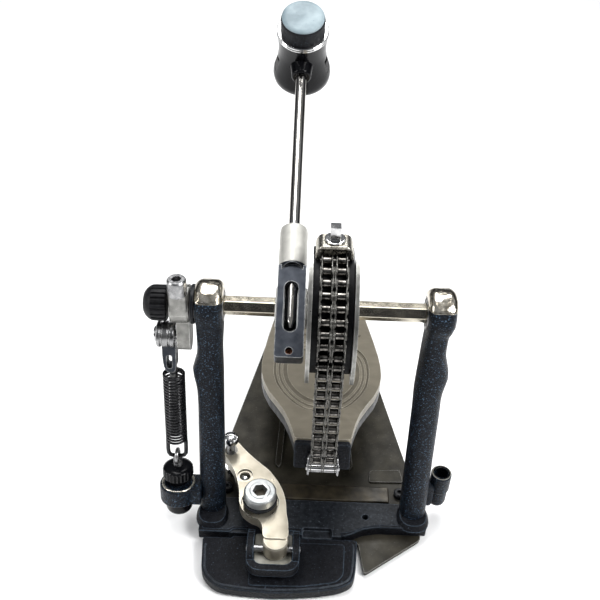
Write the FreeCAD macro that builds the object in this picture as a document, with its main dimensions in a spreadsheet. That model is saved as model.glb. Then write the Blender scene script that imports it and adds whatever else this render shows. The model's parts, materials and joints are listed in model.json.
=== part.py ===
# Bass drum pedal, single, with double-chain drive.
# Frame: origin on the floor under the middle of the axle, +X to the right seen
# from the drum, +Y towards the heel, +Z up, millimetres.
import FreeCAD, Part
import Sketcher
import math
import os

V = FreeCAD.Vector
R = FreeCAD.Rotation
PL = FreeCAD.Placement

doc = FreeCAD.newDocument("bass_drum_pedal")

# ---------------------------------------------------------------- dimensions
CELLS = [
    ("axle_z", 190), ("axle_af", 11.5), ("axle_left", 104), ("axle_right", 84),
    ("post_x", 76.8), ("post_w", 19.4), ("post_depth", 21), ("post_lean", 8.94),
    ("post_drop", 182), ("head_rad", 17.5), ("cap_cut", 8),
    ("bearing_rad", 11), ("bearing_bore", 7.05), ("bearing_flange", 13.5),
    ("plate_t", 3), ("mat_t", 2), ("rib_t", 2.5), ("heel_y", 245),
    ("casting_t", 8), ("casting_front", 53), ("casting_back", 20), ("block_t", 12),
    ("pad_t", 9), ("boss_rad", 10), ("boss_t", 13),
    ("chain_rad", 50), ("chain_x", 3.5), ("chain_w", 18.4), ("chain_pitch", 8),
    ("roller_rad", 2.6), ("link_half", 3.4), ("track_rad", 46), ("flange_rad", 53.5),
    ("flange_t", 2.5), ("track_w", 26), ("cam_hub_rad", 14), ("cam_start", -25), ("cam_span", 125), ("flange_span", 104),
    ("beater_lean", 63), ("rod_rad", 4), ("rod_off", 12), ("rod_bottom", -20.2), ("rod_top", 216),
    ("hub_reach", 209), ("holder_x", -22.7), ("holder_w", 18.6), ("holder_low", -42),
    ("holder_flat", 65), ("holder_top", 54), ("holder_face", 18), ("slot_rad", 4.6),
    ("bell_rad", 22.4), ("waist_rad", 18), ("ring_rad", 19.2), ("rubber_rad", 16.3),
    ("spring_lean", 10.57), ("spring_x", -103), ("anchor_t", 128.2), ("pin_t", 24),
    ("coil_rad", 8), ("coil_bore", 5.8), ("coil_low", 13.2), ("coil_high", 70),
    ("eye_rad", 9.3), ("eye_w", 13), ("pin_rad", 3.5), ("knob_rad", 11.4), ("bolt_rad", 3),
    ("nut_rad", 10), ("bracket_rad", 14), ("bracket_t", 14),
    ("board_x", 3), ("board_lean", 16), ("hinge_y", 225), ("hinge_z", 20), ("board_t", 5.5),
    ("skirt_t", 8), ("pin_y", -283.1), ("pin_z", -10.4), ("hinge_rad", 3), ("barrel_rad", 7),
    ("anchor_rad", 2.3), ("toe_w", 40),
    ("clamp_x", -40.5), ("clamp_y", -43), ("lever_z", 29), ("lever_t", 9), ("clamp_bolt_rad", 6),
    ("clamp_head_rad", 12), ("clamp_head_t", 8.5), ("shoe_pin_y", -75), ("shoe_pin_z", 27),
    ("shoe_pin_rad", 2.5), ("shoe_w", 38), ("shoe_z", 18), ("screw_x", -66.5), ("screw_y", 6),
    ("socket_x", 96.5), ("socket_y", -15), ("socket_rad", 7.8), ("socket_bore", 5.2), ("socket_top", 46),
]
dims = doc.addObject("Spreadsheet::Sheet", "dims")
for i, (name, value) in enumerate(CELLS, 1):
    dims.set("A%d" % i, name)
    dims.set("B%d" % i, str(value))
    dims.setAlias("B%d" % i, name)
doc.recompute()


def g(name):
    return float(dims.get(name))


def bind(obj, exprs):
    for prop, e in exprs.items():
        obj.setExpression(prop.replace("__", "."), e)


# ------------------------------------------------------------------- frames
WORLD = PL()
AXLE = PL(V(0, 0, g("axle_z")), R())
POST = PL(V(0, 0, g("axle_z")), R(V(1, 0, 0), -g("post_lean")))
ROD = PL(V(0, 0, g("axle_z")), R(V(1, 0, 0), -g("beater_lean")))
ROCK = PL(V(0, 0, g("axle_z")), R(V(1, 0, 0), -g("spring_lean")))
SPRING = ROCK.multiply(PL(V(0, 0, -g("anchor_t")), R()))
BOARD = PL(V(0, g("hinge_y"), g("hinge_z")), R(V(1, 0, 0), -g("board_lean")))
ALONG_X = R(V(0, 1, 0), 90)          # local Z becomes +X
FORWARD = R(V(1, 0, 0), 90)          # local Z becomes -Y


def prim(kind, label, frame=WORLD, at=(0, 0, 0), rot=None, **exprs):
    o = doc.addObject("Part::" + kind, label)
    o.Placement = frame.multiply(PL(V(*at), rot or R()))
    bind(o, exprs)
    return o


def fuse(label, *objs):
    o = doc.addObject("Part::MultiFuse", label)
    o.Shapes = list(objs)
    return o


def cut(label, base, tool):
    o = doc.addObject("Part::Cut", label)
    o.Base, o.Tool = base, tool
    return o


def common(label, a, b):
    o = doc.addObject("Part::MultiCommon", label)
    o.Shapes = [a, b]
    return o


def group(label, *objs):
    o = doc.addObject("Part::Compound", label)
    o.Links = list(objs)
    return o


def plane_of(body, role):
    return [f for f in body.Origin.OriginFeatures if f.Role == role][0]


def body_of(label, frame=WORLD):
    b = doc.addObject("PartDesign::Body", label)
    b.Placement = frame
    return b


def sketch(body, name, role, offset, polys=(), circles=()):
    """polys: point lists; circles: (x, y, expression of the radius)."""
    s = body.newObject("Sketcher::SketchObject", name)
    s.AttachmentSupport = [(plane_of(body, role), "")]
    s.MapMode = "FlatFace"
    s.AttachmentOffset = PL(V(0, 0, offset), R())
    for pts in polys:
        first = s.GeometryCount
        n = len(pts)
        for k in range(n):
            a, b = pts[k], pts[(k + 1) % n]
            s.addGeometry(Part.LineSegment(V(a[0], a[1], 0), V(b[0], b[1], 0)), False)
        for k in range(n):
            s.addConstraint(Sketcher.Constraint("Coincident", first + k, 2, first + (k + 1) % n, 1))
    for k, (x, y, e) in enumerate(circles):
        gi = s.addGeometry(Part.Circle(V(x, y, 0), V(0, 0, 1), 1.0), False)
        ci = s.addConstraint(Sketcher.Constraint("Radius", gi, 1.0))
        s.renameConstraint(ci, "rad%d" % k)
        s.setExpression("Constraints.rad%d" % k, e)
    return s


def pad(body, name, sk, length, reverse=False):
    p = body.newObject("PartDesign::Pad", name)
    p.Profile = sk
    p.Reversed = reverse
    p.setExpression("Length", length)
    sk.Visibility = False
    return p


def pocket(body, name, sk, length, reverse=False):
    p = body.newObject("PartDesign::Pocket", name)
    p.Profile = sk
    p.Reversed = reverse
    p.setExpression("Length", length)
    return p


def hexhole(label, frame, x0, length_expr, grow=0.0):
    """Hexagonal prism along +X with flats facing up and down in the axle frame."""
    o = doc.addObject("Part::Prism", label)
    o.Polygon = 6
    turn = ALONG_X.multiply(R(V(0, 0, 1), 30))
    o.Placement = frame.multiply(PL(V(x0, 0, 0), turn))
    o.setExpression("Circumradius", "dims.axle_af / sqrt(3) + %g" % grow)
    o.setExpression("Height", length_expr)
    return o


NODES = []


def node(obj, label):
    obj.Label = label
    NODES.append(obj)
    return obj


def mirror_pts(pts):
    return [(-x, y) for x, y in reversed(pts)]


# -------------------------------------------------------------- base and feet
plate_pts = [(-30, g("heel_y")), (30, g("heel_y")), (34, g("heel_y") - 5), (75, 35), (80, 10),
             (83, -20), (82.5, -47), (38, -79), (34.5, -53.2), (-83, -53.2), (-83, -20), (-80, 10),
             (-75, 35), (-34, g("heel_y") - 5)]
b = body_of("base_plate")
pad(b, "PlatePad", sketch(b, "PlateSketch", "XY_Plane", g("mat_t"), [plate_pts]), "dims.plate_t")
doc.recompute()
rib = [(-33, 20), (-27, 20), (-19, 200), (-25, 200)]
s = sketch(b, "RibSketch", "XY_Plane", g("mat_t") + g("plate_t") - 0.5,
           [rib, mirror_pts(rib), [(46, 6), (68, 8), (68, 18), (46, 16)]])
pad(b, "RibPad", s, "dims.rib_t + 0.5")
node(b, "base_plate")

mat_pts = [(-28, 242), (28, 242), (31, 238), (72, 35), (77, 10), (80, -20), (79, -46), (39, -75),
           (35, -51), (-80, -51), (-80, -20), (-77, 10), (-72, 35), (-31, 238)]
b = body_of("rubber_base_mat")
pad(b, "MatPad", sketch(b, "MatSketch", "XY_Plane", 0, [mat_pts]), "dims.mat_t")
node(b, "rubber_base_mat")

z5 = g("mat_t") + g("plate_t")
bar = prim("Box", "casting_bar", at=(-86.5, -g("casting_front"), z5),
           Length="173", Width="dims.casting_front - dims.casting_back", Height="dims.casting_t")
lblock = prim("Box", "casting_left_block", at=(-87.5, -55, z5), Length="26.5", Width="40", Height="dims.block_t")
rblock = prim("Box", "casting_right_block", at=(61, -51, z5), Length="26", Width="36", Height="dims.block_t")
boss = prim("Cylinder", "casting_boss", at=(g("clamp_x"), g("clamp_y"), z5 + g("casting_t") - 1),
            Radius="dims.boss_rad", Height="dims.boss_t + 1")
raw = fuse("casting_raw", bar, lblock, rblock, boss)
small = prim("Cylinder", "casting_hole", at=(40, -36, 0), Radius="2.4", Height="20")
slot = prim("Box", "casting_slot", at=(-7.5, -60, 9.6), Length="21.5", Width="15", Height="10")
node(cut("front_casting", raw, fuse("casting_cuts", small, slot)), "front_casting")

node(prim("Box", "cross_bar", at=(-58, -17, z5), Length="118", Width="15", Height="5"), "cross_bar")

hoop_pts = [(-83, -55.2), (-80.5, -86), (-69, -97), (-50, -99), (-30, -100), (-12, -99), (6, -97),
            (20, -94), (29, -89), (31.5, -80), (33.5, -53.4), (-60.8, -53.4), (-60.8, -55.2)]
b = body_of("hoop_plate")
pad(b, "HoopPad", sketch(b, "HoopSketch", "XY_Plane", g("mat_t"), [hoop_pts]), "dims.pad_t")
node(b, "hoop_plate")
grip_pts = [(-77, -60), (-75, -84), (-66, -92.5), (-30, -95), (4, -92.5), (18, -89.5), (25.5, -85.5),
            (27.5, -60)]
b = body_of("hoop_rubber")
pad(b, "HoopRubberPad", sketch(b, "HoopRubberSketch", "XY_Plane", 0, [grip_pts]), "dims.mat_t")
node(b, "hoop_rubber")

heads = []
for k, sx in enumerate((-1, 1)):
    h1 = prim("Cylinder", "foot_head%d" % k, at=(sx * 69, -6, z5), Radius="4.6", Height="4.5")
    h2 = prim("Cylinder", "foot_recess%d" % k, at=(sx * 69, -6, z5 + 2), Radius="2", Height="4")
    heads.append(cut("foot_screw%d" % k, h1, h2))
node(group("foot_screws", *heads), "foot_screws")

# --------------------------------------------------------------------- posts
left_profile = [(-86, -4), (-85.8, -30), (-86.4, -40), (-90, -49), (-89.6, -53), (-87, -66), (-86.6, -80),
                (-87.6, -g("post_drop")), (-67.8, -g("post_drop")), (-68.2, -80), (-68, -50),
                (-68.4, -32), (-67.1, -4)]
right_profile = [(66.8, -4), (68.5, -14), (67, -30), (66.2, -45), (65.6, -60), (66.2, -80),
                 (66.4, -g("post_drop")), (86.2, -g("post_drop")), (85.8, -80), (85.4, -64),
                 (88.5, -50), (88, -44), (84, -30), (83.8, -14), (86.2, -4)]
bulk = {}
for side, prof, xlo in (("left", left_profile, -g("post_x") - g("post_w") / 2),
                        ("right", right_profile, g("post_x") - g("post_w") / 2)):
    b = body_of(side + "_shaft", POST)
    sk = sketch(b, side + "ShaftSketch", "XZ_Plane", -g("post_depth") / 2, [prof])
    pad(b, side + "ShaftPad", sk, "dims.post_depth")
    head = prim("Cylinder", side + "_head", POST, (xlo, 0, 0), ALONG_X, Radius="dims.head_rad", Height="dims.post_w")
    raw = fuse(side + "_post_raw", b, head)
    bore = prim("Cylinder", side + "_bore", POST, (xlo - 1, 0, 0), ALONG_X, Radius="dims.bearing_rad",
                Height="dims.post_w + 2")
    floor = prim("Box", side + "_floor", at=(-150, -80, -30), Length="300", Width="160",
                 Height="30 + dims.mat_t + dims.plate_t + dims.block_t")
    above = prim("Box", side + "_above", POST, (-150, -60, g("cap_cut")), Length="300", Width="120", Height="60")
    tools = fuse(side + "_post_tools", bore, floor, above)
    bulk[side] = node(cut(side + "_post", raw, tools), side + "_post")
    head2 = prim("Cylinder", side + "_cap_round", POST, (xlo, 0, 0), ALONG_X, Radius="dims.head_rad",
                 Height="dims.post_w")
    above2 = prim("Box", side + "_cap_box", POST, (-150, -60, g("cap_cut") + 0.1), Length="300", Width="120",
                  Height="60")
    bore2 = prim("Cylinder", side + "_cap_bore", POST, (xlo - 1, 0, 0), ALONG_X, Radius="dims.bearing_rad",
                 Height="dims.post_w + 2")
    node(cut(side + "_post_cap", common(side + "_cap_raw", head2, above2), bore2), side + "_post_cap")
    ring = prim("Cylinder", side + "_ring", AXLE, (xlo, 0, 0), ALONG_X, Radius="dims.bearing_rad - 0.01",
                Height="dims.post_w")
    through = prim("Cylinder", side + "_through", AXLE, (xlo - 6, 0, 0), ALONG_X, Radius="dims.bearing_bore",
                   Height="dims.post_w + 12")
    if side == "left":
        fl = prim("Cylinder", "left_flange", AXLE, (xlo - 2.3, 0, 0), ALONG_X, Radius="dims.bearing_flange",
                  Height="2.3")
        ring = fuse("left_ring_raw", ring, fl)
    node(cut(side + "_bearing", ring, through), side + "_bearing")

# ------------------------------------------------- spring anchor on the frame
lobe = prim("Cylinder", "bracket_lobe", SPRING, (g("spring_x"), 0, -39), Radius="dims.bracket_rad",
            Height="dims.bracket_t")
web = prim("Box", "bracket_web", SPRING, (g("spring_x"), -10, -39), Length="18", Width="20",
           Height="dims.bracket_t")
hole = prim("Cylinder", "bracket_hole", SPRING, (g("spring_x"), 0, -45), Radius="dims.bolt_rad + 0.4",
            Height="dims.bracket_t + 20")
raw = cut("bracket_raw", fuse("bracket_mass", lobe, web), hole)
node(cut("spring_bracket", raw, bulk["left"]), "spring_bracket")

eye = prim("Torus", "bolt_eye", SPRING, (g("spring_x"), 0, 0), ALONG_X, Radius1="4.6", Radius2="1.5")
shank = prim("Cylinder", "bolt_shank", SPRING, (g("spring_x"), 0, -51), Radius="dims.bolt_rad", Height="46")
node(fuse("tension_eyebolt", eye, shank), "tension_eyebolt")
nut = prim("Cylinder", "nut_body", SPRING, (g("spring_x"), 0, -47.5), Radius="dims.nut_rad", Height="8.2")
dome = prim("Cone", "nut_dome", SPRING, (g("spring_x"), 0, -52.5), Radius1="dims.nut_rad - 4", Radius2="dims.nut_rad",
            Height="5")
nutbore = prim("Cylinder", "nut_bore", SPRING, (g("spring_x"), 0, -51.2), Radius="dims.bolt_rad", Height="20")
node(cut("lower_dome_nut", fuse("nut_raw", nut, dome), nutbore), "lower_dome_nut")

k1 = prim("Cylinder", "knob_rim", SPRING, (g("spring_x"), 0, -18.5), Radius="dims.knob_rad", Height="8")
k2 = prim("Cone", "knob_top", SPRING, (g("spring_x"), 0, -10.5), Radius1="dims.knob_rad", Radius2="dims.knob_rad - 3",
          Height="2")
k3 = prim("Cylinder", "knob_hub", SPRING, (g("spring_x"), 0, -24.5), Radius="7", Height="6.5")
kb = prim("Cylinder", "knob_bore", SPRING, (g("spring_x"), 0, -30), Radius="dims.bolt_rad + 0.08", Height="30")
node(cut("tension_knob", fuse("knob_raw", k1, k2, k3), kb), "tension_knob")

# ------------------------------------------------------------ key socket tube
t1 = prim("Cylinder", "socket_upper", at=(g("socket_x"), g("socket_y"), 28), Radius="dims.socket_rad",
          Height="dims.socket_top - 28")
t2 = prim("Cylinder", "socket_lower", at=(g("socket_x"), g("socket_y"), 12), Radius="dims.socket_rad - 1",
          Height="17")
web = prim("Box", "socket_web", at=(80, g("socket_y") - 8, 14), Length="14", Width="10", Height="24")
tb = prim("Cylinder", "socket_tube_bore", at=(g("socket_x"), g("socket_y"), 16), Radius="dims.socket_bore",
          Height="60")
raw = cut("socket_raw", fuse("socket_mass", t1, t2, web), tb)
blk = prim("Box", "socket_trim", at=(60, -52, 0), Length="27.2", Width="38", Height="17.2")
node(cut("key_socket", raw, fuse("socket_trims", bulk["right"], blk)), "key_socket")

# ----------------------------------------------------------------- heel hinge
hp = prim("Box", "heel_foot", at=(-33 + g("board_x"), 205, z5), Length="60", Width="37", Height="4")
parts = [hp]
for k, x in enumerate((-30, 21)):
    parts.append(prim("Box", "lug_box%d" % k, at=(x + g("board_x"), 217, z5), Length="9", Width="16",
                      Height="dims.hinge_z - dims.mat_t - dims.plate_t"))
    parts.append(prim("Cylinder", "lug_round%d" % k, at=(x + g("board_x"), g("hinge_y"), g("hinge_z")), rot=ALONG_X,
                      Radius="8", Height="9"))
pin_hole = prim("Cylinder", "heel_hole", at=(-60, g("hinge_y"), g("hinge_z")), rot=ALONG_X,
                Radius="dims.hinge_rad", Height="120")
ribclear = []
for k, sx in enumerate((-1, 1)):
    ribclear.append(prim("Box", "rib_clear%d" % k, at=(sx * 22 - 5, 190, 0), Length="10", Width="12", Height="8"))
node(cut("heel_plate", fuse("heel_raw", *parts), fuse("heel_tools", pin_hole, *ribclear)), "heel_plate")
node(prim("Cylinder", "heel_hinge_pin", at=(-31 + g("board_x"), g("hinge_y"), g("hinge_z")), rot=ALONG_X,
          Radius="dims.hinge_rad", Height="62"), "heel_hinge_pin")
hs = []
for k, (x, y) in enumerate(((-22, 210.5), (16, 210.5), (-22, 238), (16, 238))):
    a = prim("Cone", "heel_screw_head%d" % k, at=(x + g("board_x"), y, z5 + 4), Radius1="4", Radius2="2.8", Height="2")
    c = prim("Cylinder", "heel_screw_slot%d" % k, at=(x + g("board_x"), y, z5 + 5), Radius="1.4", Height="3")
    hs.append(cut("heel_screw%d" % k, a, c))
node(group("heel_screws", *hs), "heel_screws")

# ----------------------------------------------------------------- hoop clamp
cx, cy = g("clamp_x"), g("clamp_y")
topz = z5 + g("casting_t") + g("boss_t")
c1 = prim("Cylinder", "clamp_shank", at=(cx, cy, topz), Radius="dims.clamp_bolt_rad", Height="18")
c2 = prim("Cylinder", "clamp_head", at=(cx, cy, topz + 17.5), Radius="dims.clamp_head_rad",
          Height="dims.clamp_head_t")
c3 = prim("Prism", "clamp_socket", at=(cx, cy, topz + 20), Circumradius="5.6", Height="20")
node(cut("clamp_bolt", fuse("clamp_bolt_raw", c1, c2), c3), "clamp_bolt")
w1 = prim("Cylinder", "washer_out", at=(cx, cy, topz + 14.6), Radius="dims.clamp_head_rad + 0.8", Height="2.8")
w2 = prim("Cylinder", "washer_in", at=(cx, cy, topz + 10), Radius="dims.clamp_bolt_rad + 0.05", Height="20")
node(cut("clamp_washer", w1, w2), "clamp_washer")

lever_pts = [(-62.5, 15.5), (-55, 6), (-46, -3), (-35, -13), (-27.5, -24), (-23, -34), (-21, -44), (-20.6, -52),
             (-19, -60), (-18.3, -74), (-36.7, -74), (-37.4, -64), (-40, -58.5), (-46.5, -56), (-53, -51),
             (-56, -44), (-56.6, -34), (-58.5, -25), (-62.5, -13), (-68, -4), (-76, 8), (-75, 12), (-70, 15)]
b = body_of("lever_blank")
pad(b, "LeverPad", sketch(b, "LeverSketch", "XY_Plane", g("lever_z"), [lever_pts]), "dims.lever_t")
nose = prim("Cylinder", "lever_nose", at=(-27.5, -74, 24), Radius="9.2", Height="13")
throat = prim("Box", "lever_throat", at=(-36.7, -76, 24), Length="18.4", Width="16", Height="6")
raw = fuse("lever_raw", b, nose, throat)
tools = [prim("Cylinder", "lever_hole", at=(cx, cy, 10), Radius="dims.clamp_bolt_rad + 1.7", Height="60"),
         prim("Cylinder", "lever_window", at=(-53.6, -18.4, 10), Radius="4.2", Height="60"),
         prim("Cylinder", "lever_notch", at=(g("screw_x"), g("screw_y"), 10), Radius="5.2", Height="60"),
         prim("Box", "lever_notch_mouth", at=(g("screw_x"), g("screw_y"), 10),
              rot=R(V(0, 0, 1), 28), Length="10.4", Width="20", Height="60"),
         prim("Cylinder", "lever_pin_hole", at=(-60, g("shoe_pin_y"), g("shoe_pin_z")), rot=ALONG_X,
              Radius="dims.shoe_pin_rad + 0.08", Height="60")]
turn = R(V(0, 0, 1), 28)
off = turn.multVec(V(-5.2, 0, 0))
tools[3].Placement = PL(V(g("screw_x") + off.x, g("screw_y") + off.y, 10), turn)
node(cut("clamp_lever", raw, fuse("lever_tools", *tools)), "clamp_lever")

sx0 = -29 - g("shoe_w") / 2
sz = g("shoe_z")
f1 = prim("Box", "shoe_floor", at=(sx0, -92, sz), Length="dims.shoe_w", Width="33.5", Height="3")
e1 = prim("Box", "shoe_ear0", at=(sx0, -90, sz), Length="5", Width="30", Height="14")
e2 = prim("Box", "shoe_ear1", at=(sx0 + g("shoe_w") - 5, -90, sz), Length="5", Width="30", Height="14")
lip = prim("Box", "shoe_lip", at=(sx0, -92, sz), Length="dims.shoe_w", Width="5", Height="8")
ph = prim("Cylinder", "shoe_hole", at=(-80, g("shoe_pin_y"), g("shoe_pin_z")), rot=ALONG_X,
          Radius="dims.shoe_pin_rad", Height="90")
node(cut("clamp_shoe", fuse("shoe_raw", f1, e1, e2, lip), ph), "clamp_shoe")
node(prim("Box", "clamp_shoe_pad", at=(sx0 + 5.4, -86.6, sz + 3), Length="dims.shoe_w - 10.8", Width="27",
          Height="1.6"), "clamp_shoe_pad")
node(prim("Cylinder", "clamp_shoe_pin", at=(sx0 - 0.5, g("shoe_pin_y"), g("shoe_pin_z")), rot=ALONG_X,
          Radius="dims.shoe_pin_rad", Height="dims.shoe_w + 1"), "clamp_shoe_pin")

sxx, syy = g("screw_x"), g("screw_y")
a1 = prim("Cylinder", "adj_shank", at=(sxx, syy, z5 + 3.5), Radius="3", Height="40")
a2 = prim("Cylinder", "adj_head", at=(sxx, syy, 48.4), Radius="6", Height="4")
a3 = prim("Cone", "adj_dome", at=(sxx, syy, 52.4), Radius1="6", Radius2="3.5", Height="2.6")
a4 = prim("Prism", "adj_nut", at=(sxx, syy, 15), Circumradius="6", Height="5")
node(fuse("clamp_adjust_screw", a1, a2, a3, a4), "clamp_adjust_screw")

# ------------------------------------------------------------- axle and knob
node(hexhole("hex_axle", AXLE, -g("axle_left"), "dims.axle_left + dims.axle_right"), "hex_axle")
n1 = prim("Cylinder", "end_knob_rim", AXLE, (-115, 0, 0), ALONG_X, Radius="12.2", Height="10.8")
n2 = prim("Cone", "end_knob_dome", AXLE, (-121, 0, 0), ALONG_X, Radius1="7.5", Radius2="12.2", Height="6")
node(fuse("axle_end_knob", n1, n2), "axle_end_knob")

# --------------------------------------------------------------- spring rocker
r1 = prim("Cylinder", "rocker_hub", AXLE, (-102.5, 0, 0), ALONG_X, Radius="13.5", Height="13")
r2 = prim("Box", "rocker_arm", ROCK, (-98.5, -9, -35), Length="9", Width="18", Height="35")
r3 = prim("Box", "rocker_boss", AXLE, (-102.5, -14, 0), Length="13", Width="15", Height="16")
hx = hexhole("rocker_hex", AXLE, -110, "30", 0.0)
rp = prim("Cylinder", "rocker_pin_hole", ROCK, (-110, 0, -g("pin_t")), ALONG_X, Radius="dims.pin_rad", Height="30")
rs = prim("Cylinder", "rocker_screw_hole", AXLE, (-96, -10, 6), Radius="2.9", Height="30")
node(cut("spring_rocker", fuse("rocker_raw", r1, r2, r3), fuse("rocker_tools", hx, rp, rs)), "spring_rocker")
node(prim("Cylinder", "rocker_pin", ROCK, (-115, 0, -g("pin_t")), ALONG_X, Radius="dims.pin_rad", Height="24"),
     "rocker_pin")
q1 = prim("Cylinder", "rock_head", AXLE, (-96, -10, 16), Radius="6.3", Height="12")
q2 = prim("Prism", "rock_socket", AXLE, (-96, -10, 22), Circumradius="3.2", Height="10")
q3 = prim("Cylinder", "rock_shank", AXLE, (-96, -10, 6.2), Radius="2.9", Height="10")
node(cut("rocker_clamp_screw", fuse("rock_raw", q1, q3), q2), "rocker_clamp_screw")

# ----------------------------------------------------------------- chain wheel
cxx = g("chain_x")


def wedge_rot(phi):
    p = math.radians(phi)
    return R(V(0, -math.cos(p), math.sin(p)), V(0, math.sin(p), math.cos(p)), V(-1, 0, 0), "XYZ")


hubtool = prim("Cylinder", "cam_hub_tool", AXLE, (-40, 0, 0), ALONG_X, Radius="dims.cam_hub_rad", Height="90")
hub = prim("Cylinder", "cam_hub_round", AXLE, (cxx - 15.5, 0, 0), ALONG_X, Radius="dims.cam_hub_rad",
           Height="dims.track_w + 2 * dims.flange_t")
node(cut("cam_hub", hub, hexhole("cam_hex", AXLE, -40, "90")), "cam_hub")
for label, x1, width, rad in (("cam_track", cxx + 13, "dims.track_w", "dims.track_rad"),
                              ("left_cam_flange", cxx - 13, "dims.flange_t", "dims.flange_rad"),
                              ("right_cam_flange", cxx + 15.5, "dims.flange_t", "dims.flange_rad")):
    slab = prim("Cylinder", label + "_slab", AXLE, (x1, 0, 0), wedge_rot(g("cam_start")), Radius=rad, Height=width,
                Angle="dims.cam_span" if label == "cam_track" else "dims.flange_span")
    node(cut(label, slab, hubtool), label)

# chain wrapped round the wheel: side plates as arcs, one roller per pitch
pitch_ang = math.degrees(g("chain_pitch") / g("chain_rad"))
first_roller = math.degrees(math.atan(2.0 / g("chain_rad")))
n_wrap = 9
rc, lh = g("chain_rad"), g("link_half")
start_ang, end_ang = -1.2, first_roller + (n_wrap - 1) * pitch_ang + 3.2
plates = (-g("chain_w") / 2, -1.0, g("chain_w") / 2 - 1.6)
solids = []
for off in plates:
    w = 2.0 if off == -1.0 else 1.6
    o_ = Part.makeCylinder(rc + lh, w, V(0, 0, off), V(0, 0, 1), end_ang - start_ang)
    i_ = Part.makeCylinder(rc - lh, w + 2, V(0, 0, off - 1), V(0, 0, 1))
    solids.append(o_.cut(i_))
for k in range(n_wrap):
    a = math.radians(first_roller - start_ang + k * pitch_ang)
    solids.append(Part.makeCylinder(g("roller_rad"), g("chain_w"),
                                    V(rc * math.cos(a), rc * math.sin(a), -g("chain_w") / 2), V(0, 0, 1)))
wrap = solids[0].multiFuse(solids[1:])
f = doc.addObject("Part::Feature", "chain_on_cam")
f.Shape = wrap
f.Placement = AXLE.multiply(PL(V(cxx, 0, 0), wedge_rot(start_ang)))
node(f, "chain_on_cam")

CL = AXLE.multiply(PL(V(cxx, 0, 0), R(V(1, 0, 0), 2)))      # local Z points out of the wheel at the clamp
node(prim("Box", "chain_clamp", CL, (-12, -7, 46.2), Length="24", Width="15", Height="10.8"), "chain_clamp")
s1 = prim("Cylinder", "clamp_disc", CL, (0, 0.5, 57), Radius="6.6", Height="1.6")
s2 = prim("Box", "square_head", CL, (-3.3, -2.8, 58.5), Length="6.6", Width="6.6", Height="9")
node(fuse("chain_clamp_screw", s1, s2), "chain_clamp_screw")

# ---------------------------------------------------------------- beater holder
hx0, ro = g("holder_x"), -g("rod_off")
hb = prim("Cylinder", "holder_ring", AXLE, (-33.2, 0, 0), ALONG_X, Radius="13.5", Height="21")
keep = prim("Box", "holder_ring_trim", ROD, (-60, -38, -50), Length="100", Width="31.05", Height="120")
node(cut("holder_hub", hb, fuse("holder_hub_tools", keep, hexhole("holder_hex", AXLE, -60, "60"))), "holder_hub")
h1 = prim("Box", "holder_block", ROD, (hx0 - g("holder_w") / 2, -g("holder_face"), g("holder_low")),
          Length="dims.holder_w", Width="11", Height="dims.holder_flat")
h2 = prim("Cylinder", "holder_tube", ROD, (hx0, ro, 18), Radius="dims.holder_w / 2", Height="dims.holder_top - 18")
h2c = prim("Box", "holder_flat_cut", ROD, (hx0 - 20, -40, 0), Length="40", Width="40 - dims.holder_face", Height="23")
h3 = prim("Cylinder", "holder_bore", ROD, (hx0, ro, -29), Radius="dims.rod_rad + 0.08", Height="120")
h4 = prim("Box", "holder_slot", ROD, (hx0 - g("slot_rad"), -g("holder_face") - 6, -20),
          Length="2 * dims.slot_rad", Width="12", Height="26.4")
h5 = prim("Cylinder", "holder_slot_top", ROD, (hx0, ro, 6.4), FORWARD, Radius="dims.slot_rad", Height="20")
h6 = prim("Cylinder", "holder_slot_low", ROD, (hx0, ro, -20), FORWARD, Radius="dims.slot_rad", Height="20")
h7 = prim("Cylinder", "holder_set_hole", ROD, (hx0, 0, -37.6), FORWARD, Radius="2.4", Height="30")
h8 = prim("Cylinder", "holder_key_hole", ROD, (hx0, 10, 38), FORWARD, Radius="2.5", Height="19")
node(cut("beater_holder", cut("holder_tube_flat", fuse("holder_raw", h1, h2), h2c),
         fuse("holder_tools", h3, h4, h5, h6, h7, h8)), "beater_holder")
node(prim("Cylinder", "holder_set_screw", ROD, (hx0, -7.5, -37.6), FORWARD, Radius="2.4", Height="8"),
     "holder_set_screw")
k1 = prim("Cylinder", "key_shank", ROD, (hx0, 1, 38), FORWARD, Radius="2.5", Height="8.8")
k2 = prim("Box", "key_head", ROD, (hx0 - 3.3, 0.5, 34.7), Length="6.6", Width="8", Height="6.6")
k3 = prim("Cylinder", "key_collar", ROD, (hx0, 0.5, 38), FORWARD, Radius="4.6", Height="1.6")
node(fuse("rod_clamp_screw", k1, k2, k3), "rod_clamp_screw")

# ---------------------------------------------------------------------- beater
node(prim("Cylinder", "beater_rod", ROD, (hx0, ro, g("rod_bottom")), Radius="dims.rod_rad",
          Height="dims.rod_top - dims.rod_bottom"), "beater_rod")
hr = g("hub_reach")
s1 = prim("Cone", "shell_end", ROD, (hx0, ro + 30, hr), FORWARD, Radius1="dims.bell_rad - 3", Radius2="dims.bell_rad",
          Height="3")
s2 = prim("Cylinder", "shell_bell", ROD, (hx0, ro + 27, hr), FORWARD, Radius="dims.bell_rad", Height="7")
s3 = prim("Cone", "shell_flare", ROD, (hx0, ro + 20, hr), FORWARD, Radius1="dims.bell_rad", Radius2="dims.waist_rad",
          Height="22")
s4 = prim("Cone", "shell_neck", ROD, (hx0, ro - 2, hr), FORWARD, Radius1="dims.waist_rad", Radius2="dims.ring_rad - 0.2",
          Height="16")
s5 = prim("Cylinder", "shell_bore", ROD, (hx0, ro, hr - 40), Radius="dims.rod_rad", Height="47")
node(cut("beater_shell", fuse("shell_raw", s1, s2, s3, s4), s5), "beater_shell")
o1 = prim("Cylinder", "ring_out", ROD, (hx0, ro - 18, hr), FORWARD, Radius="dims.ring_rad", Height="3.8")
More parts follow.
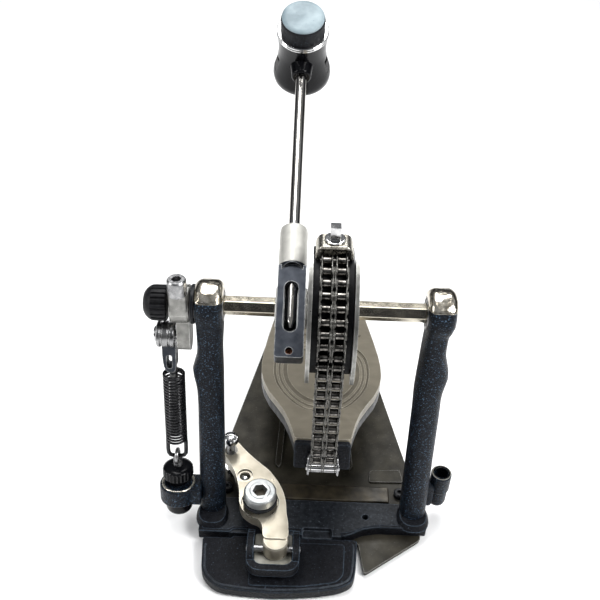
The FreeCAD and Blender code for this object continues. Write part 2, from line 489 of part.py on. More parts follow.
o2 = prim("Cylinder", "ring_in", ROD, (hx0, ro - 16, hr), FORWARD, Radius="dims.rubber_rad", Height="9")
node(cut("beater_ring", o1, o2), "beater_ring")
node(prim("Cylinder", "beater_rubber", ROD, (hx0, ro - 18, hr), FORWARD, Radius="dims.rubber_rad", Height="16"),
     "beater_rubber")
node(prim("Cylinder", "beater_face", ROD, (hx0, ro - 34, hr), FORWARD, Radius="dims.rubber_rad - 0.7", Height="1.5"),
     "beater_face")

# ---------------------------------------------------------------------- spring
pz = g("anchor_t") - g("pin_t")
e1 = prim("Cylinder", "hanger_eye", SPRING, (-113, 0, pz), ALONG_X, Radius="dims.eye_rad", Height="dims.eye_w")
e2 = prim("Box", "hanger_neck", SPRING, (-109.6, -5, 76), Length="9.6", Width="10", Height="22.4")
e4 = prim("Cylinder", "hanger_stem", SPRING, (g("spring_x"), 0, 46), Radius="2.8", Height="31")
e3 = prim("Cylinder", "hanger_bore", SPRING, (-130, 0, pz), ALONG_X, Radius="dims.pin_rad + 0.08", Height="60")
node(cut("spring_hanger", fuse("hanger_raw", e1, e2, e4), e3), "spring_hanger")
t1 = prim("Cylinder", "coil_out", SPRING, (g("spring_x"), 0, g("coil_low")), Radius="dims.coil_rad",
          Height="dims.coil_high - dims.coil_low")
t2 = prim("Cylinder", "coil_in", SPRING, (g("spring_x"), 0, g("coil_low") - 1), Radius="dims.coil_bore",
          Height="dims.coil_high - dims.coil_low + 2")
node(cut("coil_spring", t1, t2), "coil_spring")
t3 = prim("Cylinder", "end_coils_out", SPRING, (g("spring_x"), 0, g("coil_high")), Radius="dims.coil_rad",
          Height="3.4")
t4 = prim("Cylinder", "end_coils_in", SPRING, (g("spring_x"), 0, g("coil_high") - 1), Radius="dims.coil_bore",
          Height="6")
node(cut("spring_end_coils", t3, t4), "spring_end_coils")
u1 = prim("Cylinder", "shackle_bow", SPRING, (g("spring_x") - 7, 0, 0), ALONG_X, Radius="1.7", Height="14")
u2 = prim("Cylinder", "shackle_arm0", SPRING, (g("spring_x") - 6.6, 0, -1), Radius="1.6", Height="14.2")
u3 = prim("Cylinder", "shackle_arm1", SPRING, (g("spring_x") + 6.6, 0, -1), Radius="1.6", Height="14.2")
node(fuse("spring_shackle", u1, u2, u3), "spring_shackle")

# ------------------------------------------------------------------- footboard
bx = g("board_x")
half = [(20, -271), (21.5, -262), (24.5, -248), (28.5, -234), (34.5, -220), (41, -206), (46, -190), (48.8, -174),
        (49.6, -156), (49, -136), (47, -108), (43.5, -70), (40, -30), (38.5, -9), (36, 5), (30, 9), (19.2, 9)]
board_pts = [(bx + x, y) for x, y in half[:14]] + [(bx + 38, -11), (bx + 19.2, -11), (bx + 19.2, 6),
                                                  (bx - 19.2, 6), (bx - 19.2, -11), (bx - 38, -11)] + \
            [(bx - x, y) for x, y in reversed(half[:14])]
inlay_half = [(12, -232), (22, -222), (30, -208), (36, -192), (39, -174), (39.5, -156), (38, -140), (33, -126),
              (22, -115), (10, -111)]
inlay_pts = [(bx + x, y) for x, y in inlay_half] + [(bx - x, y) for x, y in reversed(inlay_half)]
b = body_of("board_blank", BOARD)
pad(b, "BoardPad", sketch(b, "BoardSketch", "XY_Plane", 0, [board_pts]), "dims.board_t")
doc.recompute()
before = b.Shape.Volume
pocket(b, "InlayPocket", sketch(b, "InlaySketch", "XY_Plane", g("board_t"), [inlay_pts]), "1.6")
doc.recompute()
if not b.Shape.Volume < before - 1000:
    raise RuntimeError("the inlay pocket cut nothing")
barrel = prim("Cylinder", "board_barrel", BOARD, (bx - 19.2, 0, 0), ALONG_X, Radius="dims.barrel_rad", Height="38.4")
bbore = prim("Cylinder", "board_bore", BOARD, (-60, 0, 0), ALONG_X, Radius="dims.hinge_rad + 0.06", Height="130")
node(cut("footboard", fuse("board_raw", b, barrel), bbore), "footboard")

inlay_in = [(bx + (x - bx) * 0.985, -170 + (y + 170) * 0.985) for x, y in inlay_pts]
b = body_of("board_inlay", BOARD)
pad(b, "InlayPad", sketch(b, "InlayPlateSketch", "XY_Plane", g("board_t") - 1.6, [inlay_in]), "0.9")
node(b, "board_inlay")

skirt = [(x - 1.2, y) for x, y in half[:13]]
outer = [(bx + x, y) for x, y in skirt] + [(bx + 36, -14), (bx - 36, -14)] + \
        [(bx - x, y) for x, y in reversed(skirt)]
b = body_of("board_skirt", BOARD)
pad(b, "SkirtPad", sketch(b, "SkirtSketch", "XY_Plane", -g("skirt_t"), [outer]), "dims.skirt_t - 0.02")
node(b, "board_skirt")

node(prim("Box", "toe_block", BOARD, (bx - g("toe_w") / 2, -276.5, -16), Length="dims.toe_w", Width="5.4",
          Height="20.5"), "toe_block")
x0 = cxx - 11
m1 = prim("Box", "anchor_back", BOARD, (x0, -278.6, -17.5), Length="22", Width="2", Height="15")
m2 = prim("Box", "anchor_side0", BOARD, (x0, -288, -17.5), Length="1.5", Width="10", Height="15")
m3 = prim("Box", "anchor_side1", BOARD, (x0 + 20.5, -288, -17.5), Length="1.5", Width="10", Height="15")
m4 = prim("Cylinder", "anchor_hole", BOARD, (-30, g("pin_y"), g("pin_z")), ALONG_X, Radius="dims.anchor_rad",
          Height="70")
node(cut("chain_anchor", fuse("anchor_raw", m1, m2, m3), m4), "chain_anchor")
node(prim("Cylinder", "chain_anchor_pin", BOARD, (cxx - 11.6, g("pin_y"), g("pin_z")), ALONG_X,
          Radius="dims.anchor_rad", Height="23.2"), "chain_anchor_pin")

# straight run of the chain from the wheel down to the toe
pin_world = BOARD.multVec(V(0, g("pin_y"), g("pin_z")))
n_drop = 13
length = (n_drop - 1) * g("chain_pitch")
solids = []
for off in plates:
    w = 2.0 if off == -1.0 else 1.6
    solids.append(Part.makeBox(w, 2 * lh, length + lh, V(off, -lh, 0)))
    solids.append(Part.makeCylinder(lh, w, V(off, 0, 0), V(1, 0, 0)))
for k in range(n_drop):
    solids.append(Part.makeCylinder(g("roller_rad") if k else lh, g("chain_w"),
                                    V(-g("chain_w") / 2, 0, k * g("chain_pitch")), V(1, 0, 0)))
drop = solids[0].multiFuse(solids[1:])
drop = drop.cut(Part.makeCylinder(g("anchor_rad") + 0.08, 60, V(-30, 0, 0), V(1, 0, 0)))
f = doc.addObject("Part::Feature", "chain_drop")
f.Shape = drop
f.Placement = PL(V(cxx, pin_world.y, pin_world.z), R())
node(f, "chain_drop")

# ----------------------------------------------------------------- write files
doc.recompute()
for o in doc.Objects:
    bad = [s_ for s_ in o.State if s_ in ("Invalid", "Error")]
    if bad:
        raise RuntimeError("%s is %s" % (o.Name, bad))
for o in NODES:
    if o.Shape.isNull() or not o.Shape.isValid() or not o.Shape.Solids:
        raise RuntimeError("%s has no valid solid" % o.Label)

os.makedirs("parts", exist_ok=True)
for o in NODES:
    o.Shape.exportStep("parts/%s.step" % o.Label)
print("nodes", len(NODES))
for o in NODES:
    bb = o.Shape.BoundBox
    print("%-20s solids %d  vol %.0f  x %.1f..%.1f  y %.1f..%.1f  z %.1f..%.1f" % (
        o.Label, len(o.Shape.Solids), o.Shape.Volume, bb.XMin, bb.XMax, bb.YMin, bb.YMax, bb.ZMin, bb.ZMax))
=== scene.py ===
# Looks for the bass drum pedal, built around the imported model. Metres, row frame;
# shapes are written in millimetres in their own frames and scaled once in put().
import bpy
import bmesh
import math
import json
from mathutils import Matrix, Vector

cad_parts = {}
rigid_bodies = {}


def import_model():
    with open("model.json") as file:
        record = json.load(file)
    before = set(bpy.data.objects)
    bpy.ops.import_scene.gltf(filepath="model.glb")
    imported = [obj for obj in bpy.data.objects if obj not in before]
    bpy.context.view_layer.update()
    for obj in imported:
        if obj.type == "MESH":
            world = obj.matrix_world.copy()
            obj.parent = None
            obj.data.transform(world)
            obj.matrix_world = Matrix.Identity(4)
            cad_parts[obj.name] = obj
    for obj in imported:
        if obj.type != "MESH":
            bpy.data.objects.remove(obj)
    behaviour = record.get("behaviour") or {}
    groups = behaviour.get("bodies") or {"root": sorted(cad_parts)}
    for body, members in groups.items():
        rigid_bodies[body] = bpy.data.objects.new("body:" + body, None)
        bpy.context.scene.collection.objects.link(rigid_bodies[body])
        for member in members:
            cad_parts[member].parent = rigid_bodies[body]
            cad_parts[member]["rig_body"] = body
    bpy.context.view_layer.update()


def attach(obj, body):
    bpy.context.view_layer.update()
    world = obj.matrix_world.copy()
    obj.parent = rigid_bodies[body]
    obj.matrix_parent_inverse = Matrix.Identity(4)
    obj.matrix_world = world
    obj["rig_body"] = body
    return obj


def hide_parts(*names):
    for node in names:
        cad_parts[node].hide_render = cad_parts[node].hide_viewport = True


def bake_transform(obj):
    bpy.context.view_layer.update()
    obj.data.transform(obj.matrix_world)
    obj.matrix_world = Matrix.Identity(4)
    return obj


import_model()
pi = math.pi


def T(x, y, z):
    return Matrix.Translation((x, y, z))


def RX(d):
    return Matrix.Rotation(math.radians(d), 4, "X")


def RY(d):
    return Matrix.Rotation(math.radians(d), 4, "Y")


def RZ(d):
    return Matrix.Rotation(math.radians(d), 4, "Z")


I4 = Matrix.Identity(4)
AXLE = T(0, 0, 190)
POST = AXLE @ RX(-8.94)
ROD = AXLE @ RX(-63)
ROCK = AXLE @ RX(-10.57)
SPRING = ROCK @ T(0, 0, -128.2)
BOARD = T(0, 225, 20) @ RX(-16)
CL = T(3.5, 0, 190) @ RX(2)
ALX = RY(90)                                  # local Z along +X
FWD = RX(90)                                  # local Z along -Y
YZX = Matrix(((0, 0, 1, 0), (1, 0, 0, 0), (0, 1, 0, 0), (0, 0, 0, 1)))   # outline in Y,Z, depth along X

# ------------------------------------------------------------------ materials


def shader(name):
    m = bpy.data.materials.new(name)
    m.use_nodes = True
    nt = m.node_tree
    return m, nt, nt.nodes["Principled BSDF"]


def surface(name, dark, light, metal=0.0, rough=(0.3, 0.45), tex=220.0, detail=6.0, bump=0.0, bump_scale=900.0,
            bump_kind="noise", bump_dist=0.00015, coat=0.0, coat_rough=0.15, edge_wear_and_highlight=None, edge_wear_and_highlight_amount=0.6, speck=None,
            speck_scale=900.0, speck_size=0.62, stretch=(1, 1, 1), specular=0.5, low=0.35, high=0.7):
    """A procedural finish: two colours mixed by noise, varied roughness, a relief, and lighter edges that are part worn
    paint and part painted edge highlight.
    """
    m, nt, b = shader(name)
    N, L = nt.nodes.new, nt.links.new
    tc = N("ShaderNodeTexCoord")
    mp = N("ShaderNodeMapping")
    mp.inputs["Scale"].default_value = stretch
    L(tc.outputs["Object"], mp.inputs["Vector"])
    n1 = N("ShaderNodeTexNoise")
    n1.inputs["Scale"].default_value = tex
    n1.inputs["Detail"].default_value = detail
    L(mp.outputs[0], n1.inputs["Vector"])
    ramp = N("ShaderNodeValToRGB")
    ramp.color_ramp.elements[0].position = low
    ramp.color_ramp.elements[1].position = high
    ramp.color_ramp.elements[0].color = (*dark, 1)
    ramp.color_ramp.elements[1].color = (*light, 1)
    L(n1.outputs["Fac"], ramp.inputs["Fac"])
    colour = ramp.outputs["Color"]
    if speck:
        v = N("ShaderNodeTexNoise")
        v.inputs["Scale"].default_value = speck_scale
        v.inputs["Detail"].default_value = 2.0
        L(mp.outputs[0], v.inputs["Vector"])
        r2 = N("ShaderNodeValToRGB")
        r2.color_ramp.elements[0].position = speck_size
        r2.color_ramp.elements[1].position = speck_size + 0.06
        r2.color_ramp.elements[0].color = (0, 0, 0, 1)
        r2.color_ramp.elements[1].color = (1, 1, 1, 1)
        L(v.outputs["Fac"], r2.inputs["Fac"])
        mx = N("ShaderNodeMix")
        mx.data_type = "RGBA"
        L(r2.outputs["Color"], mx.inputs[0])
        L(colour, mx.inputs[6])
        mx.inputs[7].default_value = (*speck, 1)
        colour = mx.outputs[2]
    # lighter colour along edges found by the bevel normal: part worn paint, part painted edge highlight
    if edge_wear_and_highlight:
        geo = N("ShaderNodeNewGeometry")
        bv = N("ShaderNodeBevel")
        bv.samples = 4
        bv.inputs["Radius"].default_value = 0.0009
        dt = N("ShaderNodeVectorMath")
        dt.operation = "DOT_PRODUCT"
        L(bv.outputs["Normal"], dt.inputs[0])
        L(geo.outputs["Normal"], dt.inputs[1])
        pr = N("ShaderNodeMapRange")
        pr.inputs["From Min"].default_value = 0.995
        pr.inputs["From Max"].default_value = 0.93
        pr.inputs["To Min"].default_value = 0.0
        pr.inputs["To Max"].default_value = edge_wear_and_highlight_amount
        L(dt.outputs["Value"], pr.inputs["Value"])
        wn = N("ShaderNodeTexNoise")
        wn.inputs["Scale"].default_value = 260
        L(mp.outputs[0], wn.inputs["Vector"])
        wr = N("ShaderNodeMath")
        wr.operation = "MULTIPLY"
        wr.use_clamp = True
        L(pr.outputs[0], wr.inputs[0])
        L(wn.outputs["Fac"], wr.inputs[1])
        mx = N("ShaderNodeMix")
        mx.data_type = "RGBA"
        L(wr.outputs[0], mx.inputs[0])
        L(colour, mx.inputs[6])
        mx.inputs[7].default_value = (*edge_wear_and_highlight, 1)
        colour = mx.outputs[2]
    L(colour, b.inputs["Base Color"])
    rr = N("ShaderNodeMapRange")
    rr.inputs["From Min"].default_value = 0.3
    rr.inputs["From Max"].default_value = 0.7
    rr.inputs["To Min"].default_value = rough[0]
    rr.inputs["To Max"].default_value = rough[1]
    n2 = N("ShaderNodeTexNoise")
    n2.inputs["Scale"].default_value = tex * 1.7
    n2.inputs["Detail"].default_value = 4
    L(mp.outputs[0], n2.inputs["Vector"])
    L(n2.outputs["Fac"], rr.inputs["Value"])
    L(rr.outputs[0], b.inputs["Roughness"])
    b.inputs["Metallic"].default_value = metal
    b.inputs["Specular IOR Level"].default_value = specular
    if coat:
        b.inputs["Coat Weight"].default_value = coat
        b.inputs["Coat Roughness"].default_value = coat_rough
    if bump:
        bn = N("ShaderNodeBump")
        bn.inputs["Strength"].default_value = bump
        bn.inputs["Distance"].default_value = bump_dist
        if bump_kind == "noise":
            t = N("ShaderNodeTexNoise")
            t.inputs["Scale"].default_value = bump_scale
            t.inputs["Detail"].default_value = 3
            L(mp.outputs[0], t.inputs["Vector"])
            L(t.outputs["Fac"], bn.inputs["Height"])
        else:
            t = N("ShaderNodeTexVoronoi")
            t.feature = "SMOOTH_F1"
            t.inputs["Scale"].default_value = bump_scale
            L(mp.outputs[0], t.inputs["Vector"])
            L(t.outputs["Distance"], bn.inputs["Height"])
        L(bn.outputs["Normal"], b.inputs["Normal"])
    return m


# base plate: black satin steel whose warm olive tint is a painted reflection of the room; the pale flecks are dust
# each edge colour below lightens the edges: part worn paint, part painted edge highlight
M_PLATE = surface("satin_dark_steel", (.014, .0125, .009), (.040, .036, .026), metal=.15, rough=(.36, .55), tex=60,
                  bump=.25, bump_scale=1500, edge_wear_and_highlight=(.38, .38, .36), edge_wear_and_highlight_amount=.9, speck=(.085, .08, .07),
                  speck_scale=1300, speck_size=.68, specular=.2)
# crinkle paint: the blue-grey flecks and the blue edge colour are painted sky reflection
M_CRINKLE = surface("crinkle_black", (.0025, .003, .0045), (.008, .009, .012), rough=(.4, .55), tex=500, bump=1.0,
                    bump_scale=850, bump_dist=.0006, edge_wear_and_highlight=(.14, .20, .27), edge_wear_and_highlight_amount=.8, specular=.13,
                    speck=(.06, .08, .11), speck_scale=1000, speck_size=.68)
# hammer paint: the blue flecks are painted blue glints of reflected sky
M_HAMMER = surface("hammer_black", (.0018, .0024, .004), (.006, .009, .015), rough=(.3, .45), tex=420, bump=1.0,
                   bump_scale=1250, bump_dist=.0006, specular=.14, speck=(.075, .13, .20),
                   speck_scale=1150, speck_size=.61)
M_BLACKMETAL = surface("satin_black_metal", (.004, .0045, .006), (.011, .012, .015), rough=(.3, .45), tex=150, bump=.2,
                       bump_scale=1200, edge_wear_and_highlight=(.2, .21, .22), edge_wear_and_highlight_amount=.7, specular=.15)
M_SLATE = surface("speckled_slate", (.006, .0075, .010), (.018, .021, .026), metal=.1, rough=(.4, .6), tex=350, bump=.6,
                  bump_scale=1100, bump_dist=.0003, edge_wear_and_highlight=(.2, .24, .29), edge_wear_and_highlight_amount=.9, speck=(.10, .12, .14),
                  speck_scale=1200, speck_size=.67, specular=.18)
M_CHROME = surface("polished_chrome", (.45, .45, .455), (.78, .78, .77), metal=1, rough=(.06, .18), tex=90, bump=.04,
                   bump_scale=600)
M_ROD = surface("rod_chrome", (.42, .40, .37), (.78, .76, .73), metal=1, rough=(.07, .2), tex=120, stretch=(1, .15, .15),
                bump=.05, bump_scale=900)
M_NICKEL = surface("hammered_nickel", (.40, .36, .29), (.82, .77, .67), metal=1, rough=(.12, .28), tex=260, bump=.5,
                   bump_kind="cells", bump_scale=330, bump_dist=.0006)
M_NICKELSATIN = surface("satin_nickel", (.55, .52, .45), (.68, .65, .57), metal=1, rough=(.2, .36), tex=500, bump=.12,
                        bump_scale=1300)
M_CHAMP = surface("satin_champagne", (.20, .178, .135), (.235, .21, .16), metal=.5, rough=(.34, .48), tex=90, bump=.14,
                  bump_scale=1800, edge_wear_and_highlight=(.72, .68, .58), edge_wear_and_highlight_amount=.9)
M_LEVER = surface("bright_champagne", (.26, .235, .185), (.38, .35, .285), metal=.75, rough=(.26, .38), tex=60, bump=.12,
                  bump_scale=1300, edge_wear_and_highlight=(.75, .73, .66), edge_wear_and_highlight_amount=.8)
M_CHAMPDARK = surface("worn_champagne", (.125, .11, .082), (.155, .138, .105), metal=.5, rough=(.38, .52), tex=120, bump=.2,
                      bump_scale=1500)
M_ALLOY = surface("satin_alloy", (.16, .158, .148), (.30, .297, .28), metal=.8, rough=(.26, .4), tex=160, bump=.12,
                  bump_scale=1500, edge_wear_and_highlight=(.7, .7, .67), edge_wear_and_highlight_amount=.9)
M_ALLOYDARK = surface("grey_alloy_face", (.018, .021, .028), (.045, .05, .06), metal=.7, rough=(.3, .44), tex=120, bump=.2,
                      bump_scale=1600, edge_wear_and_highlight=(.55, .56, .55), edge_wear_and_highlight_amount=1.0, specular=.3)
M_STEEL = surface("plain_steel", (.2, .2, .205), (.4, .4, .4), metal=1, rough=(.22, .4), tex=200, bump=.1,
                  bump_scale=1200)
M_AXLE = surface("axle_nickel", (.60, .55, .44), (.72, .67, .55), metal=1, rough=(.16, .26), tex=160, bump=.06,
                 bump_scale=1100)
# on the chain the lighter edge colour is mostly painted highlight along the plate edges
M_CHAIN = surface("chain_plate_steel", (.006, .0055, .005), (.035, .032, .028), metal=.7, rough=(.22, .4), tex=420, bump=.2,
                  bump_scale=1600, edge_wear_and_highlight=(.42, .41, .38), edge_wear_and_highlight_amount=.9)
M_ROLLER = surface("chain_roller_steel", (.03, .028, .025), (.27, .255, .235), metal=1, rough=(.14, .28), tex=380)
M_PLASTIC = surface("gloss_black_plastic", (.0018, .0018, .0025), (.005, .0053, .0065), rough=(.12, .24), tex=180, bump=.06,
                    bump_scale=1500, specular=.16)
M_GRAIN = surface("moulded_black_plastic", (.004, .004, .0048), (.011, .0113, .013), rough=(.4, .55), tex=300, bump=.4,
                  bump_scale=1300, bump_dist=.0003, specular=.16)
M_RUBBER = surface("speckled_rubber", (.004, .0045, .006), (.010, .011, .014), rough=(.5, .68), tex=300, bump=.45,
                   bump_scale=1200, speck=(.05, .075, .10), speck_scale=1250, speck_size=.66, specular=.18)
M_FACE = surface("pale_face", (.15, .20, .225), (.30, .37, .40), rough=(.4, .55), tex=70, bump=.25, bump_scale=700,
                 speck=(.10, .14, .16), speck_scale=420, speck_size=.7, specular=.3)
M_PALE = surface("pale_grey_plastic", (.17, .165, .14), (.30, .29, .25), rough=(.3, .45), tex=150, bump=.15,
                 bump_scale=900)
M_SPRING = surface("blackened_wire", (.006, .006, .007), (.028, .028, .031), metal=.6, rough=(.16, .3), tex=260)
M_BRONZE = surface("bronze_bar", (.016, .0135, .009), (.05, .041, .026), metal=.4, rough=(.32, .5), tex=110,
                   bump=.2, bump_scale=900)
M_BORE = surface("shadowed_bore", (.002, .002, .0025), (.006, .006, .0065), rough=(.5, .7), tex=300, specular=.3)
M_COLLAR = surface("blasted_collar", (.46, .455, .42), (.58, .57, .53), metal=.5, rough=(.38, .5), tex=160, bump=.08,
                   bump_scale=1600)
M_BOLT = surface("satin_bolt", (.24, .25, .25), (.36, .37, .37), metal=.75, rough=(.28, .4), tex=160, bump=.08,
                 bump_scale=1300, edge_wear_and_highlight=(.75, .76, .76), edge_wear_and_highlight_amount=.9)
M_RUST = surface("oxidised_screw", (.10, .03, .012), (.24, .085, .035), metal=.6, rough=(.4, .6), tex=500)

# --------------------------------------------------------------- mesh helpers


def lathe(profile, n=64, rfun=None, closed=False):
    bm = bmesh.new()
    rings = []
    for r, z in profile:
        if r < 1e-6:
            rings.append([bm.verts.new((0, 0, z))])
        else:
            ring = []
            for i in range(n):
                a = 2 * pi * i / n
                q = r if rfun is None else rfun(r, z, a)
                ring.append(bm.verts.new((q * math.cos(a), q * math.sin(a), z)))
            rings.append(ring)
    pairs = list(zip(rings, rings[1:]))
    if closed:
        pairs.append((rings[-1], rings[0]))
    for A, B in pairs:
        for i in range(n):
            j = (i + 1) % n
            if len(A) == 1 and len(B) == 1:
                break
            if len(A) == 1:
                bm.faces.new((A[0], B[j], B[i]))
            elif len(B) == 1:
                bm.faces.new((A[i], A[j], B[0]))
            else:
                bm.faces.new((A[i], A[j], B[j], B[i]))
    bmesh.ops.recalc_face_normals(bm, faces=bm.faces)
    return bm


def cyl(r, z0, z1, n=64):
    return lathe([(0, z0), (r, z0), (r, z1), (0, z1)], n)


def tube(ro, ri, z0, z1, n=64):
    return lathe([(ri, z0), (ro, z0), (ro, z1), (ri, z1)], n, closed=True)


def rounded(pts, r, seg=5):
    out = []
    n = len(pts)
    for k in range(n):
        p0, p, p1 = Vector(pts[k - 1]), Vector(pts[k]), Vector(pts[(k + 1) % n])
        a, b = (p0 - p), (p1 - p)
        d = min(r[k] if isinstance(r, (list, tuple)) else r, a.length * .45, b.length * .45)
        a.normalize(), b.normalize()
        if a.dot(b) < -.995 or d < 1e-4:
            out.append(tuple(p))
            continue
        s, e = p + a * d, p + b * d
        for i in range(seg + 1):
            t = i / seg
            out.append(tuple(s * (1 - t) ** 2 + p * 2 * t * (1 - t) + e * t * t))
    return out


def prism(pts, z0, z1):
    bm = bmesh.new()
    lo = [bm.verts.new((x, y, z0)) for x, y in pts]
    hi = [bm.verts.new((x, y, z1)) for x, y in pts]
    n = len(pts)
    bm.faces.new(list(reversed(lo)))
    bm.faces.new(hi)
    for i in range(n):
        j = (i + 1) % n
        bm.faces.new((lo[i], lo[j], hi[j], hi[i]))
    bmesh.ops.recalc_face_normals(bm, faces=bm.faces)
    return bm


def box(x0, x1, y0, y1, z0, z1):
    return prism([(x0, y0), (x1, y0), (x1, y1), (x0, y1)], z0, z1)


def moved(bm, M):
    bmesh.ops.transform(bm, matrix=M, verts=bm.verts)
    if M.to_3x3().determinant() < 0:
        bmesh.ops.reverse_faces(bm, faces=bm.faces)
    return bm


def joined(*bms):
    out = bmesh.new()
    for b in bms:
        me = bpy.data.meshes.new("tmp")
        b.to_mesh(me)
        out.from_mesh(me)
        bpy.data.meshes.remove(me)
        b.free()
    return out


def tmp_object(bm):
    me = bpy.data.meshes.new("tmp")
    bm.to_mesh(me)
    bm.free()
    o = bpy.data.objects.new("tmp", me)
    bpy.context.scene.collection.objects.link(o)
    return o


def boolean(a, b, op):
    oa, ob = tmp_object(a), tmp_object(b)
    m = oa.modifiers.new("b", "BOOLEAN")
    m.object, m.operation, m.solver = ob, op, "EXACT"
    dg = bpy.context.evaluated_depsgraph_get()
    dg.update()
    me = bpy.data.meshes.new_from_object(oa.evaluated_get(dg))
    out = bmesh.new()
    out.from_mesh(me)
    for o in (oa, ob):
        d = o.data
        bpy.data.objects.remove(o)
        bpy.data.meshes.remove(d)
    bpy.data.meshes.remove(me)
    bmesh.ops.remove_doubles(out, verts=out.verts, dist=1e-4)
    bmesh.ops.dissolve_limit(out, angle_limit=math.radians(.3), verts=out.verts, edges=out.edges)
    return out


def union(first, *rest):
    for b in rest:
        first = boolean(first, b, "UNION")
    return first


def minus(first, *rest):
    for b in rest:
        first = boolean(first, b, "DIFFERENCE")
    return first


def sweep(path, r, n=12, closed=False, caps=True):
    """A round wire along a list of points."""
    bm = bmesh.new()
    P = [Vector(p) for p in path]
    m = len(P)
    rings = []
    ref = None
    for i, p in enumerate(P):
        if closed:
            t = (P[(i + 1) % m] - P[i - 1]).normalized()
        else:
            t = (P[min(i + 1, m - 1)] - P[max(i - 1, 0)]).normalized()
        if ref is None:
            ref = t.orthogonal().normalized()
        ref = (ref - t * ref.dot(t)).normalized()
        s = t.cross(ref)
        rings.append([bm.verts.new(p + (ref * math.cos(2 * pi * k / n) + s * math.sin(2 * pi * k / n)) * r)
                      for k in range(n)])
    for i in range(m if closed else m - 1):
        A, B = rings[i], rings[(i + 1) % m]
        for k in range(n):
            bm.faces.new((A[k], A[(k + 1) % n], B[(k + 1) % n], B[k]))
    if caps and not closed:
        bm.faces.new(list(reversed(rings[0])))
        bm.faces.new(rings[-1])
    bmesh.ops.recalc_face_normals(bm, faces=bm.faces)
    return bm


def torus(R, r, n=64, m=16):
    return sweep([(R * math.cos(2 * pi * k / n), R * math.sin(2 * pi * k / n), 0) for k in range(n)], r, m, True)


def loft(rings, caps=True):
    bm = bmesh.new()
    R = [[bm.verts.new(p) for p in ring] for ring in rings]
    n = len(rings[0])
    for A, B in zip(R, R[1:]):
        for k in range(n):
            bm.faces.new((A[k], A[(k + 1) % n], B[(k + 1) % n], B[k]))
    if caps:
        bm.faces.new(list(reversed(R[0])))
        bm.faces.new(R[-1])
    bmesh.ops.recalc_face_normals(bm, faces=bm.faces)
    return bm


def put(name, bm, M, body, material, nodes=(), bevel=0.0, seg=3, ang=32, smooth=40):
    bmesh.ops.transform(bm, matrix=Matrix.Scale(0.001, 4) @ M, verts=bm.verts)
    bmesh.ops.recalc_face_normals(bm, faces=bm.faces)
    me = bpy.data.meshes.new(name)
    bm.to_mesh(me)
    bm.free()
    o = bpy.data.objects.new(name, me)
    bpy.context.scene.collection.objects.link(o)
    me.materials.append(material)
    me.shade_smooth()
    if bevel:
        m = o.modifiers.new("edge", "BEVEL")
        m.width, m.segments, m.limit_method = bevel * .001, seg, "ANGLE"
        m.angle_limit = math.radians(ang)
        m.miter_outer = "MITER_ARC"
        w = o.modifiers.new("normals", "WEIGHTED_NORMAL")
        w.keep_sharp = True
        w.weight = 60
    else:
        me.set_sharp_from_angle(angle=math.radians(smooth))
    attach(o, body)
    if nodes:
        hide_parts(*nodes)
    return o


def hexagon(af, turn=0):
    R = af / math.sqrt(3)
    return [(R * math.cos(math.radians(60 * k + turn)), R * math.sin(math.radians(60 * k + turn))) for k in range(6)]


# ------------------------------------------------------------------ base plate
plate_pts = [(-30, 245), (30, 245), (34, 240), (75, 35), (80, 10), (83, -20), (82.5, -47), (38, -79), (34.5, -53.2),
             (-83, -53.2), (-83, -20), (-80, 10), (-75, 35), (-34, 240)]
plate = prism(rounded(plate_pts, [5, 5, 4, 12, 12, 12, 4, 3, 1, .5, 4, 12, 12, 4]), 2, 5)
put("base_plate_skin", plate, I4, "frame", M_PLATE, ("base_plate",), .7)
rib = [(-32, 20), (-29, 16), (-27, 20), (-20, 196), (-22, 201), (-25, 198)]
ribs = []
for s in (1, -1):
    ribs.append(moved(prism(rounded(rib, 3), 4.6, 7.3), Matrix.Diagonal((s, 1, 1, 1))))
put("base_plate_ribs", joined(*ribs), I4, "frame", M_PLATE, (), .9)
pr = prism(rounded([(45, 5), (73, 6), (71, 19), (46, 17)], 2.5), 4.6, 6.6)
put("pressed_pad", pr, I4, "frame", M_PLATE, (), .4)
mat_pts = [(-28, 242), (28, 242), (31, 238), (72, 35), (77, 10), (80, -20), (79, -46), (39, -75), (35, -51),
           (-80, -51), (-80, -20), (-77, 10), (-72, 35), (-31, 238)]
put("base_mat_skin", prism(rounded(mat_pts, 3), 0, 2), I4, "frame", M_RUBBER, ("rubber_base_mat",), .3)
put("cross_bar_skin", prism(rounded([(-58, -17), (60, -17), (60, -2), (-58, -2)], 1.5), 5, 10), I4, "frame", M_BRONZE,
    ("cross_bar",), 1.3)
# --------------------------------------------------------------- front casting
bar = prism(rounded([(-86, -20.5), (-86, -52.8), (23, -52.8), (28, -50.6), (37, -46), (48, -43.6), (86, -43.6), (86, -20.5)],
                    [4, 4, 3, 4, 6, 6, 5, 4]), 5, 13)
bar = minus(bar, moved(cyl(2.4, 0, 20, 32), T(40, -34, 0)),
            prism(rounded([(-8, -60), (14, -60), (14, -46), (-8, -46)], 2), 9.6, 20))
put("casting_plate", bar, I4, "frame", M_SLATE, ("front_casting",), 1.0)
put("casting_front_wall", prism(rounded([(21, -52.9), (24, -52.9), (28.6, -51), (37.4, -46.4), (48.4, -44), (86.2, -44), (86.2, -41.2),
                                         (49, -41.2), (38.4, -43.4), (29.6, -48), (21, -50)], 1.2), 5, 14.2), I4,
    "frame", M_CRINKLE, (), .9)
put("casting_left_wall", prism(rounded([(-86.4, -52.9), (-63, -52.9), (-60, -50), (-14, -50), (-10, -52.9), (-8.4, -52.9), (-8.4, -47),
                                        (-60, -47.4), (-64, -50.2), (-83.4, -50.2), (-83.4, -21), (-86.4, -21)], 1.2), 5, 14.0), I4,
    "frame", M_CRINKLE, (), .9)
